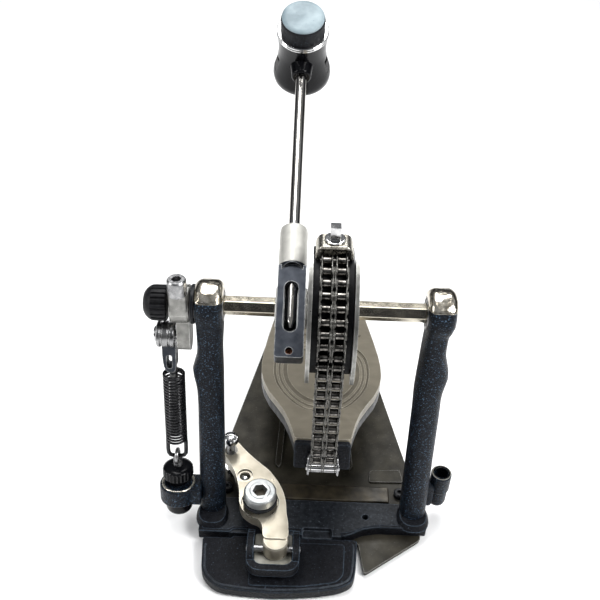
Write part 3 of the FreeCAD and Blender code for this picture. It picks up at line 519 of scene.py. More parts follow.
for nm, xc, yc in (("left", -77.2, -37.3), ("right", 76.4, -33.2)):
    so = []
    for z, k in ((12.6, 1.18), (14.2, 1.12), (16.2, 1.02), (17, .97)):
        so.append([(xc + 10.4 * k * math.copysign(abs(math.cos(a)) ** .8, math.cos(a)),
                    yc + (z - 12.6) * .157 + 11.3 * k * math.copysign(abs(math.sin(a)) ** .8, math.sin(a)), z)
                   for a in [2 * pi * (i + .5) / 64 for i in range(64)]])
    put(nm + "_post_socket", loft(so), I4, "frame", M_CRINKLE, ())
boss = lathe([(0, 12.5), (12.4, 12.5), (11.2, 14.5), (10, 18), (9.8, 25.2), (9, 26), (0, 26)], 64)
put("clamp_boss", moved(boss, T(-40.5, -41, 0)), I4, "frame", M_CRINKLE, (), .5)
for s, nm in ((-1, "left"), (1, "right")):
    sc = minus(lathe([(0, 5), (4.6, 5), (4.6, 8.4), (3.6, 9.4), (0, 9.4)], 48), cyl(2, 7, 20, 6))
    put(nm + "_foot_screw", moved(sc, T(s * 69, -6, 0)), I4, "frame", M_BLACKMETAL, ("foot_screws",) if s < 0 else (),
        .25)

# ------------------------------------------------------------------ hoop plate
hoop_pts = [(-83, -55.2), (-80.5, -86), (-69, -97), (-50, -99), (-30, -100), (-12, -99), (6, -97), (20, -94),
            (29, -89), (31.5, -80), (33.5, -53.4), (-60.8, -53.4), (-60.8, -55.2)]
hoop = prism(rounded(hoop_pts, [3, 10, 9, 4, 4, 4, 4, 5, 6, 6, 2, 0, 0]), 2, 10.3)
put("hoop_plate_skin", hoop, I4, "frame", M_CRINKLE, ("hoop_plate",), 2.0, 4)
ridge = [(-80.6, -60), (-78.2, -84.6), (-68.2, -94.6), (-50, -96.6), (-30, -97.6), (-12, -96.6), (5.6, -94.6),
         (18.8, -91.8), (26.6, -87.4), (28.9, -79.4), (30.8, -56)]
put("hoop_plate_rim", sweep([(x, y, 10.1) for x, y in rounded(ridge, 5)[3:-3]], .9, 10), I4, "frame", M_SLATE, ())
put("hoop_seat_panel", prism(rounded([(-46, -95), (-8, -94.5), (17, -90), (22.5, -84), (24, -58), (-46, -58)], 3),
                             9.8, 10.95), I4, "frame", M_CRINKLE, (), .5)
grip_pts = [(-77, -60), (-75, -84), (-66, -92.5), (-30, -95), (4, -92.5), (18, -89.5), (25.5, -85.5), (27.5, -60)]
put("hoop_rubber_skin", prism(rounded(grip_pts, 3), 0, 2), I4, "frame", M_RUBBER, ("hoop_rubber",), .3)

# ----------------------------------------------------------------------- posts
left_profile = [(-86, -4), (-85.8, -30), (-86.4, -40), (-90, -49), (-89.6, -53), (-87, -66), (-86.6, -80),
                (-87.6, -182), (-67.8, -182), (-68.2, -80), (-68, -50), (-68.4, -32), (-67.1, -4)]
right_profile = [(66.8, -4), (68.5, -14), (67, -30), (66.2, -45), (65.6, -60), (66.2, -80), (66.4, -182),
                 (86.2, -182), (85.8, -80), (85.4, -64), (88.5, -50), (88, -44), (84, -30), (83.8, -14), (86.2, -4)]


def side_x(pts, z, pick):
    """Lowest or highest X of an outline at height z."""
    xs = []
    for (x0, z0), (x1, z1) in zip(pts, pts[1:] + pts[:1]):
        if abs(z0 - z1) > 1e-6 and min(z0, z1) - 1e-6 <= z <= max(z0, z1) + 1e-6:
            xs.append(x0 + (x1 - x0) * (z - z0) / (z1 - z0))
    return pick(xs)


for side, prof, cxp in (("left", left_profile, -76.8), ("right", right_profile, 76.8)):
    rings = []
    levels = [-196, -182] + list(range(-176, -20, 6)) + [-18, -15.5, -13, -10.5, -8, -5.5, -3, 0, 3, 5.5, 8]
    for z in levels:
        zz = max(-182, min(z, -4))
        lo_ = [side_x(prof, max(-182, min(-4, zz + d)), min) for d in (-3, 0, 3)]
        hi_ = [side_x(prof, max(-182, min(-4, zz + d)), max) for d in (-3, 0, 3)]
        xa, xb = sum(lo_) / 3, sum(hi_) / 3
        if z > -4:
            xa, xb = cxp - 9.6, cxp + 9.6
        half = 10.5
        if abs(z) < 17.5:
            half = max(half, math.sqrt(17.5 ** 2 - z * z))
        if -34 < z <= -14:
            half = 10.5 + 1.0 * ((z + 34) / 20) ** 2
        c, w = (xa + xb) / 2, (xb - xa) / 2
        p = 2.35 if z < -34 else (2.35 + (z + 34) / 20 * 1.6 if z < -14 else 3.9)
        ring = []
        for k in range(48):
            a = 2 * pi * (k + .5) / 48
            ca, sa = math.cos(a), math.sin(a)
            ring.append((c + w * math.copysign(abs(ca) ** (2 / p), ca), half * math.copysign(abs(sa) ** (2 / p), sa), z))
        rings.append(ring)
    post = loft(rings)
    moved(post, POST)
    post = minus(post, box(-150, 150, -90, 90, -40, 17), moved(cyl(11, cxp - 20, cxp + 20), POST @ ALX))
    put(side + "_post_skin", post, I4, "frame", M_HAMMER, (side + "_post",), .8, 2, 40)
    # polished cap
    sec = []
    for x in (-9.7, -9.5, -9.0, -8.2, -7.0, -5.6, -4, 0, 4, 5.6, 7.0, 8.2, 9.0, 9.5, 9.7):
        d = max(0.0, abs(x) - 4.0) / 5.7
        r = 17.5 - 5.2 * (1 - math.sqrt(max(0.0, 1 - d * d)))
        t0 = math.acos(8.1 / r)
        sec.append([(cxp + x, r * math.sin(-t0 + 2 * t0 * k / 24), r * math.cos(-t0 + 2 * t0 * k / 24)) for k in range(25)])
    cap = minus(loft(sec), moved(cyl(11, cxp - 20, cxp + 20), ALX))
    put(side + "_cap_skin", cap, POST, "frame", M_NICKEL, (side + "_post_cap",), .35, 2, 40)
    ring = lathe([(7.05, cxp - 9.6), (8.6, cxp - 9.6), (8.8, cxp - 9.0), (9.6, cxp - 9.0), (9.8, cxp - 9.6), (10.95, cxp - 9.6),
                  (10.95, cxp + 9.6), (9.8, cxp + 9.6), (9.6, cxp + 9.0), (8.8, cxp + 9.0), (8.6, cxp + 9.6),
                  (7.05, cxp + 9.6)], 72, closed=True)
    put(side + "_bearing_skin", ring, AXLE @ ALX, "frame", M_STEEL, (side + "_bearing",), .25)
put("left_bearing_flange", tube(13.5, 7.1, -88.8, -86.4), AXLE @ ALX, "frame", M_BLACKMETAL, (), .6)

# ----------------------------------------------------------- axle and end knob
put("hex_axle_skin", prism([(y, z) for y, z in hexagon(11.5, 0)], -104, 84), AXLE @ YZX, "axle", M_AXLE,
    ("hex_axle",), .45)


def flutes(depth, count, z0, z1):
    def f(r, z, a):
        if r < 8 or not z0 - .01 <= z <= z1 + .01:
            return r
        w = (a * count / (2 * pi)) % 1.0
        return r - depth * (1 if w < .26 else 0)
    return f


prof = [(0, -121), (4, -120.9), (7, -120.2), (9.4, -118.7), (11.0, -116.8), (12.0, -114.9), (12.05, -114.6), (12.2, -112.6),
        (12.2, -106.2), (11.6, -105.0), (9, -104.3), (0, -104.3)]
put("end_knob_skin", lathe(prof, 160, flutes(.9, 20, -114.7, -105.0)), AXLE @ ALX, "axle", M_GRAIN, ("axle_end_knob",),
    .3, 2, 30)

# --------------------------------------------------------------- spring rocker
arm = prism(rounded([(-9, 3), (-8.6, -24), (-6, -33), (0, -35), (6, -33), (8.6, -24), (9, 3)], 4), -98.4, -89.6)
hubp = lathe([(0, -102.4), (12.6, -102.4), (13.4, -101.2), (13.4, -90.8), (12.6, -89.6), (0, -89.6)], 72)
bossp = prism(rounded([(-102.4, -13.9), (-102.4, .9), (-89.6, .9), (-89.6, -13.9)], [4, 2, 2, 4]), 0, 15.9)
rocker = union(moved(arm, ROCK @ YZX), moved(hubp, AXLE @ ALX), moved(bossp, AXLE))
rocker = minus(rocker, moved(prism(hexagon(11.5, 0), -110, -80), AXLE @ YZX), moved(box(-104, -88, -2.2, -.6, 6, 20), AXLE))
put("rocker_skin", rocker, I4, "axle", M_ALLOY, ("spring_rocker",), .9, 3, 30)
pin = lathe([(0, -115), (4.6, -115), (5.2, -114.4), (5.2, -113.2), (3.5, -113.1), (3.5, -98.4), (3.5, -91), (0, -91)], 48)
pin = minus(pin, prism(hexagon(4.0, 0), -116, -113.9))
put("rocker_pin_skin", pin, ROCK @ T(0, 0, -24) @ ALX, "axle", M_CHROME, ("rocker_pin",), .25)
cs = minus(lathe([(0, 6.3), (2.9, 6.3), (2.9, 16), (6.3, 16), (6.3, 27), (5.4, 28), (0, 28)], 64), prism(hexagon(5.6, 10), 22, 40))
put("rocker_screw_skin", cs, AXLE @ T(-96, -10, 0), "axle", M_STEEL, ("rocker_clamp_screw",), .35)
kn = []
for k in range(30):
    a = 12 * k
    kn.append(moved(box(5.9, 6.35, -.28, .28, 17, 26.4), AXLE @ T(-96, -10, 0) @ RZ(a)))
put("rocker_screw_knurl", joined(*kn), I4, "axle", M_STEEL, ())

# ------------------------------------------------------------- spring assembly
pz = 104.2
eye = lathe([(3.6, -113), (8.2, -113), (9.2, -112.2), (9.2, -110.4), (8.3, -110), (8.3, -109), (9.2, -108.6), (9.2, -105),
             (8.3, -104.6), (8.3, -103.6), (9.2, -103.2), (9.2, -101), (8.2, -100), (3.6, -100)], 72, closed=True)
put("hanger_roller", moved(eye, T(0, 0, pz) @ ALX), SPRING, "hanger", M_STEEL, ("spring_hanger",), .3)
neck = prism(rounded([(-109.5, 99), (-109.5, 88), (-108.6, 80), (-106.5, 76.2), (-101.4, 76.2), (-100.1, 80), (-100.1, 99)],
                     [0, 3, 3, 2.5, 2.5, 3, 0]), -5, 5)
XZY = Matrix(((1, 0, 0, 0), (0, 0, 1, 0), (0, 1, 0, 0), (0, 0, 0, 1)))
neck = moved(neck, XZY)
neck = minus(neck, moved(prism(rounded([(-2.2, 79.5), (2.2, 79.5), (2.2, 90), (-2.2, 90)], 2.1), -120, -90), YZX),
             moved(prism(rounded([(-106.6, 79.5), (-103, 79.5), (-103, 90), (-106.6, 90)], 1.7), -9, 9), XZY))
put("hanger_neck_skin", neck, SPRING, "hanger", M_ALLOYDARK, (), .8)
put("hanger_stem_skin", lathe([(0, 46), (2.3, 46), (2.8, 47), (2.8, 78), (0, 78)], 40), SPRING @ T(-103, 0, 0), "hanger",
    M_STEEL, (), .2)


def helix(R, z0, z1, turns, a0=0.0, per=28):
    n = int(turns * per)
    return [(R * math.cos(2 * pi * k / per + a0), R * math.sin(2 * pi * k / per + a0), z0 + (z1 - z0) * k / n)
            for k in range(n + 1)]


# closed end coils, then the working coils
low = helix(7.05, 14.4, 16.8, 1)
mid = helix(7.05, 16.8, 68.7, 21)[1:]
coil = sweep(low + mid, .86, 12)
coil_obj = put("coil_spring_wire", coil, SPRING @ T(-103, 0, 0), "spring", M_SPRING, ("coil_spring",))
top = sweep(helix(7.05, 69.4, 72.2, 1.6, 0.0), .9, 12)
hook = sweep([(7.05 * math.cos(t), 7.05 * math.sin(t), 72.2) for t in [k * pi / 14 for k in range(0, 29)]], .9, 12, False)
put("coil_end_wire", joined(top, hook), SPRING @ T(-103, 0, 0), "spring_top", M_SPRING, ("spring_end_coils",))
sh = [(-6.6, 0, 14.2)] + [(-6.6, 0, 6), (-6.4, 0, 3)] + [(-5.2, 0, .8), (-3, 0, 0), (3, 0, 0), (5.2, 0, .8)] + \
     [(6.4, 0, 3), (6.6, 0, 6), (6.6, 0, 14.2)]
put("shackle_wire", sweep(sh, 1.5, 14), SPRING @ T(-103, 0, 0), "spring", M_SPRING, ("spring_shackle",))
eb = union(moved(torus(4.6, 1.5, 64, 16), ALX), lathe([(0, -51), (2.6, -51), (3, -50.4), (3, -6.6), (2.2, -5.2), (0, -5.2)], 40))
put("eyebolt_skin", eb, SPRING @ T(-103, 0, 0), "frame", M_STEEL, ("tension_eyebolt",))
thr = []
for k in range(13):
    thr.append(moved(torus(2.95, .28, 36, 6), T(0, 0, -25.5 + k * 1.25 + 8.5)))
put("eyebolt_thread", joined(*thr), SPRING @ T(-103, 0, 0), "frame", M_STEEL, ())


def knurl(depth, count, z0, z1):
    def f(r, z, a):
        if r < 9 or not z0 <= z <= z1:
            return r
        return r - depth * (.5 + .5 * math.cos(count * a))
    return f


kp = [(3.1, -24.5), (6.4, -24.5), (7, -23.8), (7, -19.4), (8.6, -18.5), (10.6, -18.3), (11.4, -17.4), (11.4, -11.4),
      (10.8, -10.4), (8.8, -8.9), (6, -8.5), (3.1, -8.5)]
put("tension_knob_skin", lathe(kp, 144, knurl(.9, 24, -17.8, -11.2), closed=True), SPRING @ T(-103, 0, 0), "tension_knob",
    M_PLASTIC, ("tension_knob",), .3, 2, 35)
lobe = lathe([(0, -39), (13.4, -39), (14, -38.2), (14, -25.8), (13.4, -25), (0, -25)], 72)
webp = box(0, 17.5, -9.6, 9.6, -38.6, -25.4)
brk = minus(union(lobe, webp), cyl(3.4, -60, 0, 40), cyl(9.4, -27.2, 0, 48), cyl(9.4, -60, -37, 48))
brk = minus(brk, moved(box(-14.6 + 103, 40, -60, 60, -60, 60), T(0, 0, 0)))
put("bracket_skin", brk, SPRING @ T(-103, 0, 0), "frame", M_HAMMER, ("spring_bracket",), .9, 3, 35)
# bright rings on the lobe's faces: part bare-metal edge, part painted edge highlight
put("bracket_metal_and_highlight_rings", joined(moved(torus(11.6, 1.0, 72, 12), T(0, 0, -25.2)), moved(torus(11.6, 1.0, 72, 12), T(0, 0, -38.8))),
    SPRING @ T(-103, 0, 0), "frame", M_NICKELSATIN, ())
put("dome_nut_skin", lathe([(0, -52.5), (4, -52.3), (7, -51.2), (9, -49.4), (10, -47.2), (10, -40.4), (9.2, -39.4), (0, -39.4)], 64),
    SPRING @ T(-103, 0, 0), "frame", M_PLASTIC, ("lower_dome_nut",), .4)

# ----------------------------------------------------------------- key holder
ks = lathe([(5.2, 46), (7.0, 46), (7.8, 45.2), (7.8, 29.4), (6.9, 28.2), (6.8, 16), (6.2, 13.6), (4.6, 12.3), (0, 12), (0, 15), (5.2, 16)], 72)
put("key_socket_skin", moved(ks, T(96.5, -15, 0)), I4, "frame", M_HAMMER, ("key_socket",), .35)
# pale ring over the socket's top face: painted rim highlight
put("key_socket_rim_highlight", moved(tube(7.1, 5.25, 45.3, 46.0), T(96.5, -15, 0)), I4, "frame", M_PALE, (), .2)
kw = prism(rounded([(80.5, 38), (80.5, 14.4), (91, 14.4), (92, 18), (92, 34), (90, 38)], 2.5), -22.6, -13.4)
put("key_socket_web", moved(kw, XZY), I4, "frame", M_HAMMER, (), 1.4)

# ------------------------------------------------------------------ heel parts
hf = prism(rounded([(-30, 205), (30, 205), (30, 242), (-30, 242)], 4), 5, 9)
lug = [(217, 5), (233, 5), (233, 20), (231.9, 24), (229, 27), (225, 28), (221, 27), (218.1, 24), (217, 20)]
parts = [hf]
for x0, x1 in ((-27, -18), (24, 33)):
    parts.append(moved(prism(lug, x0, x1), YZX))
hp = union(*parts)
hp = minus(hp, box(-27, -17, 190, 202, 0, 8), moved(cyl(3, -60, 60, 32), T(0, 225, 20) @ ALX))
put("heel_plate_skin", hp, I4, "frame", M_BLACKMETAL, ("heel_plate",), .9)
put("heel_pin_skin", lathe([(0, -28), (2.5, -28), (3, -27.5), (3, 33.5), (2.5, 34), (0, 34)], 40), T(0, 225, 20) @ ALX, "frame",
    M_CHROME, ("heel_hinge_pin",))
for k, (x, y) in enumerate(((-19, 210.5), (19, 210.5), (-19, 238), (19, 238))):
    hs = minus(lathe([(0, 8.8), (4, 9.0), (3.6, 10.2), (2.4, 11), (0, 11)], 40), box(-3, 3, -.5, .5, 10.1, 14),
               box(-.5, .5, -3, 3, 10.1, 14))
    put("heel_screw_%d" % k, moved(hs, T(x, y, 0)), I4, "frame", M_CHROME, ("heel_screws",) if k == 0 else ())

# ------------------------------------------------------------------ hoop clamp
lever_pts = [(-62.5, 15.5), (-55, 6), (-46, -3), (-35, -13), (-27.5, -24), (-23, -34), (-21, -44), (-20.6, -52),
             (-19, -60), (-18.3, -74), (-36.7, -74), (-37.4, -64), (-40, -58.5), (-46.5, -56), (-53, -51),
             (-56, -44), (-56.6, -34), (-58.5, -25), (-62.5, -13), (-68, -4), (-76, 8), (-75, 12), (-70, 15)]
lev = prism(rounded(lever_pts, 4), 29, 38)
nose = lathe([(0, 24), (8.4, 24), (9.2, 24.8), (9.2, 36), (8.4, 37), (0, 37)], 72)
lev = union(lev, moved(nose, T(-27.5, -74, 0)), box(-36.6, -18.5, -75, -61, 24, 30))
lev = minus(lev, moved(cyl(7.7, 10, 60), T(-40.5, -43, 0)), moved(cyl(4.2, 10, 60), T(-53.6, -18.4, 0)),
            moved(cyl(5.2, 10, 60), T(-66.5, 6, 0)),
            moved(box(-5.2, 5.2, 0, 20, 10, 60), T(-66.5, 6, 0) @ RZ(28)),
            moved(lathe([(0, 36.4), (13.6, 36.4), (14.4, 39), (0, 39)], 72), T(-40.5, -43, 0)),
            moved(lathe([(0, 36.6), (5.6, 36.6), (6.2, 39), (0, 39)], 48), T(-53.6, -18.4, 0)))
put("clamp_lever_skin", lev, I4, "clamp_lever", M_LEVER, ("clamp_lever",), 1.15, 4, 34)
put("clamp_window_ball", moved(lathe([(0, 30), (2.4, 30.2), (3.9, 31.4), (4.15, 33), (3.9, 34.6), (2.4, 35.8), (0, 36.2)], 48),
                               T(-53.6, -18.4, 0)), I4, "clamp_lever", M_CHROME, ())
hd = lathe([(0, 26), (6, 26), (6, 43.5), (11.4, 43.5), (12, 44.1), (12, 50), (11.4, 51.0), (10.4, 51.5), (7.6, 51.5), (7.2, 52), (0, 52)], 72)
hd = minus(hd, prism(hexagon(9.7, 12), 46, 60))
put("clamp_bolt_skin", moved(hd, T(-40.5, -43, 0)), I4, "frame", M_BOLT, ("clamp_bolt",), .35)
put("clamp_bolt_recess", moved(prism(hexagon(9.6, 12), 45.7, 46.3), T(-40.5, -43, 0)), I4, "frame", M_BRONZE, ())
put("clamp_washer_skin", moved(tube(12.8, 6.05, 40.6, 43.4, 72), T(-40.5, -43, 0)), I4, "frame", M_RUBBER, ("clamp_washer",),
    .7)
sx0 = -48
wall_out = rounded([(-48, -92), (-10, -92), (-10, -58.6), (-48, -58.6)], [11, 11, 1, 1], 8)
wall_in = rounded([(-43, -87), (-15, -87), (-15, -40), (-43, -40)], [7, 7, 0, 0], 8)
shoe = minus(prism(wall_out, 18, 26), prism(wall_in, 21, 40))
shoe = union(shoe, moved(prism(rounded([(-84, 18.2), (-84, 28), (-78, 32), (-69, 32), (-60.5, 27), (-58.7, 18.2)], [1, 5, 7, 7, 6, 1]), -48, -43), YZX),
             moved(prism(rounded([(-84, 18.2), (-84, 28), (-78, 32), (-69, 32), (-60.5, 27), (-58.7, 18.2)], [1, 5, 7, 7, 6, 1]), -15, -10), YZX))
put("clamp_shoe_skin", shoe, I4, "clamp_shoe", M_CRINKLE, ("clamp_shoe",), 1.0, 3, 34)
put("clamp_shoe_pad_skin", prism(rounded([(-42.6, -86.6), (-15.4, -86.6), (-15.4, -59.6), (-42.6, -59.6)], 2), 21, 22.6), I4,
    "clamp_shoe", M_PALE, ("clamp_shoe_pad",), .5)
put("clamp_shoe_pin_skin", lathe([(0, -48.5), (2.1, -48.5), (2.5, -48.1), (2.5, -9.9), (2.1, -9.5), (0, -9.5)], 40),
    T(0, -75, 27) @ ALX, "clamp_shoe", M_STEEL, ("clamp_shoe_pin",))
adj = union(cyl(3, 8.5, 49, 48), lathe([(0, 48.4), (5.6, 48.4), (6, 48.9), (6, 52), (5, 53.8), (3, 54.8), (0, 55)], 56),
            prism(hexagon(10.4, 5), 15, 20))
adj = minus(adj, box(-7, 7, -.7, .7, 53.2, 60))
put("clamp_adjust_screw_skin", moved(adj, T(-66.5, 6, 0)), I4, "clamp_screw", M_CHROME, ("clamp_adjust_screw",), .3)
th = [moved(torus(2.95, .3, 36, 6), T(-66.5, 6, 21.5 + 1.3 * k)) for k in range(20)]
put("clamp_adjust_thread", joined(*th), I4, "clamp_screw", M_STEEL, ())

# ---------------------------------------------------------------- chain wheel
def polar(r, phi):
    p = math.radians(phi)
    return (-r * math.cos(p), r * math.sin(p))


def wedge(r, a0, a1, inner=10.0, step=2.5):
    n = int((a1 - a0) / step)
    pts = [polar(r, a0 + (a1 - a0) * k / n) for k in range(n + 1)]
    return pts + [polar(inner, a1 + 8), polar(inner, a0 - 8)]


def flange(x0, x1, face):
    pts = wedge(53.4, -24.6, 78.6)
    pts = rounded(pts, [4] + [0] * (len(pts) - 4) + [7, 3, 3], 6)
    body = union(prism(pts, x0, x1), lathe([(0, x0), (14, x0), (14, x1), (0, x1)], 64))
    win = []
    for a0, a1 in ((-14, 20), (30, 64)):
        o = [polar(43, a0 + (a1 - a0) * k / 8) for k in range(9)] + [polar(22, a1 - 3 - (a1 - a0 - 6) * k / 4) for k in range(5)]
        win.append(prism(rounded(o, [5] + [0] * 7 + [5] + [4] + [0] * 3 + [4], 5), x0 - 2, x0 + .9) if face < 0 else
                   prism(rounded(o, [5] + [0] * 7 + [5] + [4] + [0] * 3 + [4], 5), x1 - .9, x1 + 2))
    body = minus(body, *win)
    return minus(body, prism(hexagon(11.5, 0), -40, 60))


put("left_flange_skin", flange(-12, -9.5, -1), AXLE @ YZX, "axle", M_ALLOY, ("left_cam_flange",), .55)
put("right_flange_skin", flange(16.5, 19, 1), AXLE @ YZX, "axle", M_ALLOY, ("right_cam_flange",), .55)
trk = prism(wedge(45.9, -24.8, 99.8), -9.4, 16.4)
trk = minus(trk, moved(torus(46.2, 1.2, 200, 8), T(0, 0, .5)), moved(torus(46.2, 1.2, 200, 8), T(0, 0, 6.5)),
            prism(hexagon(11.5, 0), -40, 60))
put("cam_track_skin", trk, AXLE @ YZX, "axle", M_GRAIN, ("cam_track",), .5)
pads = []
for k in range(15):
    a = -22 + 8.6 * k
    m = AXLE @ Matrix.Rotation(math.radians(-a), 4, "X")
    for xc in (-.9, 8.0):
        pads.append(moved(box(xc - 3.2, xc + 3.2, -47.0, -45.4, -1.6, 1.6), m))
put("cam_track_pads", joined(*pads), I4, "axle", M_BORE, (), .5)
put("cam_hub_skin", minus(lathe([(0, -12), (13.4, -12), (14, -11.4), (14, 18.4), (13.4, 19), (0, 19)], 64),
                          prism(hexagon(11.5, 0), -40, 60)), AXLE @ YZX, "axle", M_ALLOYDARK, ("cam_hub",), .4)


# --------------------------------------------------------------------- chain
def link_plate(x0, x1, pitch=8.0, half=3.3, waist=2.45):
    pts = []
    for k in range(15):
        t = math.radians(-128 + 256 * k / 14)
        pts.append((half * math.sin(t), pitch + half * math.cos(t) if abs(math.degrees(t)) <= 128 else 0))
    top = pts
    bot = [(-y, pitch - z) for y, z in pts]
    out = [(y, z) for y, z in top] + [(waist, pitch / 2)] + [(y, z) for y, z in bot] + [(-waist, pitch / 2)]
    return prism(out, x0, x1)


def chain_parts(points, frames):
    """points: matrices of the rollers; frames: matrices of the links between them."""
    plates, rolls = [], []
    for k, m in enumerate(frames):
        outer = k % 2 == 0
        d = .75 if outer else -.05
        for xc, w in ((-8.4, .7), (8.4, .7)):
            s = -1 if xc < 0 else 1
            a = xc + s * (.1 if outer else -.7)
            plates.append(moved(link_plate(a - .35, a + .35), m @ YZX))
        if outer:
            plates.append(moved(link_plate(-.95, -.25), m @ YZX))
            plates.append(moved(link_plate(.25, .95), m @ YZX))
        else:
            plates.append(moved(link_plate(-1.75, -1.05), m @ YZX))
            plates.append(moved(link_plate(1.05, 1.75), m @ YZX))
    for m in points:
        for x0, x1 in ((-7.3, -1.85), (1.85, 7.3)):
            rolls.append(moved(lathe([(0, x0), (2.2, x0), (2.55, x0 + .4), (2.55, x1 - .4), (2.2, x1), (0, x1)], 20), m @ ALX))
        rolls.append(moved(lathe([(0, -9.15), (1.1, -9.15), (1.4, -8.9), (1.4, 8.9), (1.1, 9.15), (0, 9.15)], 14), m @ ALX))
    return plates, rolls


pitch_ang = math.degrees(8 / 50)
phis = [2.2906 + pitch_ang * k for k in range(9)]


def wheel_point(phi, r=50.0):
    p = math.radians(phi)
    return Vector((3.5, -r * math.cos(p), 190 + r * math.sin(p)))


def between(a, b):
    """Frame at a with local Z towards b, local X along the axle."""
    z = (b - a).normalized()
    x = Vector((1, 0, 0))
    y = z.cross(x)
    return Matrix(((x.x, y.x, z.x, a.x), (x.y, y.y, z.y, a.y), (x.z, y.z, z.z, a.z), (0, 0, 0, 1)))


wp = [wheel_point(p) for p in phis]
pl, ro_ = chain_parts([T(*p) for p in wp], [between(a, b) for a, b in zip(wp, wp[1:])])
put("wheel_chain_plates", joined(*pl), I4, "axle", M_CHAIN, ("chain_on_cam",), .18, 2)
put("wheel_chain_rollers", joined(*ro_), I4, "axle", M_ROLLER, ())
pin = BOARD @ Vector((0, -283.1, -10.4))
dp = [Vector((3.5, pin.y, pin.z + 8 * k)) for k in range(13)]
fr = [between(a, b) for a, b in zip(dp, dp[1:])]
pl, ro_ = chain_parts([T(*p) for p in dp[1:]], fr)
put("drop_chain_plates", joined(*pl), I4, "chain_run", M_CHAIN, ("chain_drop",), .18, 2)
put("drop_chain_rollers", joined(*ro_), I4, "chain_run", M_ROLLER, ())

br = prism(rounded([(-11.8, 46.4), (-11.8, 52.6), (-8.8, 56.8), (8.8, 56.8), (11.8, 52.6), (11.8, 46.4)], [1, 2.6, 2.6, 2.6, 2.6, 1]), -7.5, 6.7)
br = moved(br, XZY)
br = minus(br, box(-9.6, 9.6, -20, 20, 40, 54.2))
put("chain_clamp_skin", br, CL @ T(0, .6, 0), "axle", M_NICKELSATIN, ("chain_clamp",), .8)
put("chain_clamp_yoke", union(box(-9.2, 9.2, -5.4, 7.2, 50.6, 54.2), box(-9.2, -7.2, -6.4, 7.4, 46.4, 53), box(7.2, 9.2, -6.4, 7.4, 46.4, 53)),
    CL, "axle", M_CHAIN, (), .5)
sq = union(lathe([(0, 57), (6.1, 57), (6.6, 57.4), (6.6, 58.2), (5.6, 58.7), (0, 58.7)], 56),
           prism(rounded([(-3.3, -3.3), (3.3, -3.3), (3.3, 3.3), (-3.3, 3.3)], .5, 2), 58.5, 67.5))
put("chain_clamp_screw_skin", sq, CL @ T(0, .5, 0), "axle", M_CHROME, ("chain_clamp_screw",), .45)

# --------------------------------------------------------------- beater holder
hx = -22.7
blk = prism(rounded([(-9.3, -42), (9.3, -42), (9.3, 22.9), (-9.3, 22.9)], [2.5, 2.5, 0, 0]), -18, -7)
blk = moved(blk, XZY)
tb = lathe([(0, 4), (9.3, 4), (9.3, 50), (8.9, 52.4), (7.6, 53.7), (5, 54), (0, 54)], 72)
tb = minus(moved(tb, T(0, -12, 0)), box(-20, 20, -7, 20, -50, 17.9))
face_out = [(-12, -60), (12, -60), (12, 12)] + [(9.6 * math.cos(t), 12 + 11.5 * math.sin(t)) for t in
                                               [k * pi / 14 for k in range(0, 15)]] + [(-12, 12)]
tb = minus(tb, moved(prism(face_out, -40, -18), XZY))
hold = union(blk, tb)
slotp = [(4.6 * math.cos(t), 6.4 + 4.6 * math.sin(t)) for t in [k * pi / 12 for k in range(13)]] + \
        [(4.6 * math.cos(t), -20 + 4.6 * math.sin(t)) for t in [pi + k * pi / 12 for k in range(13)]]
hold = minus(hold, moved(cyl(4.08, -29, 90, 48), T(0, -12, 0)), moved(prism(slotp, -26, -12), XZY),
             moved(cyl(2.4, -30, 30, 32), T(0, 0, -37.6) @ FWD), moved(cyl(2.5, 0, 40, 32), T(0, 20, 38) @ FWD))
put("holder_skin", hold, ROD @ T(hx, 0, 0), "axle", M_ALLOYDARK, ("beater_holder",), .85, 3, 34)
put("holder_collar", minus(lathe([(0, 24), (9.35, 24), (9.5, 25), (9.5, 49.6), (9.1, 52.4), (7.7, 53.9), (5.2, 54.2), (0, 54.2)], 72),
                           cyl(4.1, 0, 90, 48), moved(cyl(2.6, -30, 0, 32), T(0, 12, 38) @ FWD)),
    ROD @ T(hx, -12, 0), "axle", M_COLLAR, (), .5)
put("set_screw_skin", minus(lathe([(0, 7.6), (2.35, 7.6), (2.35, 15.1), (0, 15.1)], 32), prism(hexagon(2.2), 13.6, 20)),
    ROD @ T(hx, 0, -37.6) @ FWD, "axle", M_RUST, ("holder_set_screw",))
hubh = moved(lathe([(0, -33.2), (12.9, -33.2), (13.5, -32.6), (13.5, -12.8), (12.9, -12.2), (0, -12.2)], 72), AXLE @ ALX)
hubh = minus(hubh, moved(prism(hexagon(11.5, 0), -60, 60), AXLE @ YZX), moved(box(-60, 40, -60, -6.98, -60, 60), ROD))
put("holder_hub_skin", hubh, I4, "axle", M_ALLOY, ("holder_hub",), .6)
ks_ = union(lathe([(0, -8), (2.4, -8), (2.4, .6), (4.2, .8), (4.6, 1.2), (4.6, 2), (0, 2.2)], 40),)
sqh = union(moved(cyl(2.45, -8.3, -.6, 32), I4), moved(lathe([(0, -2.1), (4.6, -2.1), (4.6, -.9), (4.1, -.5), (0, -.5)], 48), I4),
            prism(rounded([(-3.3, -3.3), (3.3, -3.3), (3.3, 3.3), (-3.3, 3.3)], .5, 2), -8.5, -.6))
sqh.free()
ks_.free()
scr = union(lathe([(0, 7.7), (2.4, 7.7), (2.4, -1), (0, -1)], 32),
            lathe([(0, -2.1), (4.2, -2.1), (4.6, -1.7), (4.6, -.9), (4.2, -.5), (0, -.5)], 48),
            prism(rounded([(-3.3, -3.3), (3.3, -3.3), (3.3, 3.3), (-3.3, 3.3)], .5, 2), -8.5, -1.5))
put("rod_clamp_screw_skin", scr, ROD @ T(hx, 0, 38) @ FWD, "axle", M_CHROME, ("rod_clamp_screw",), .35)

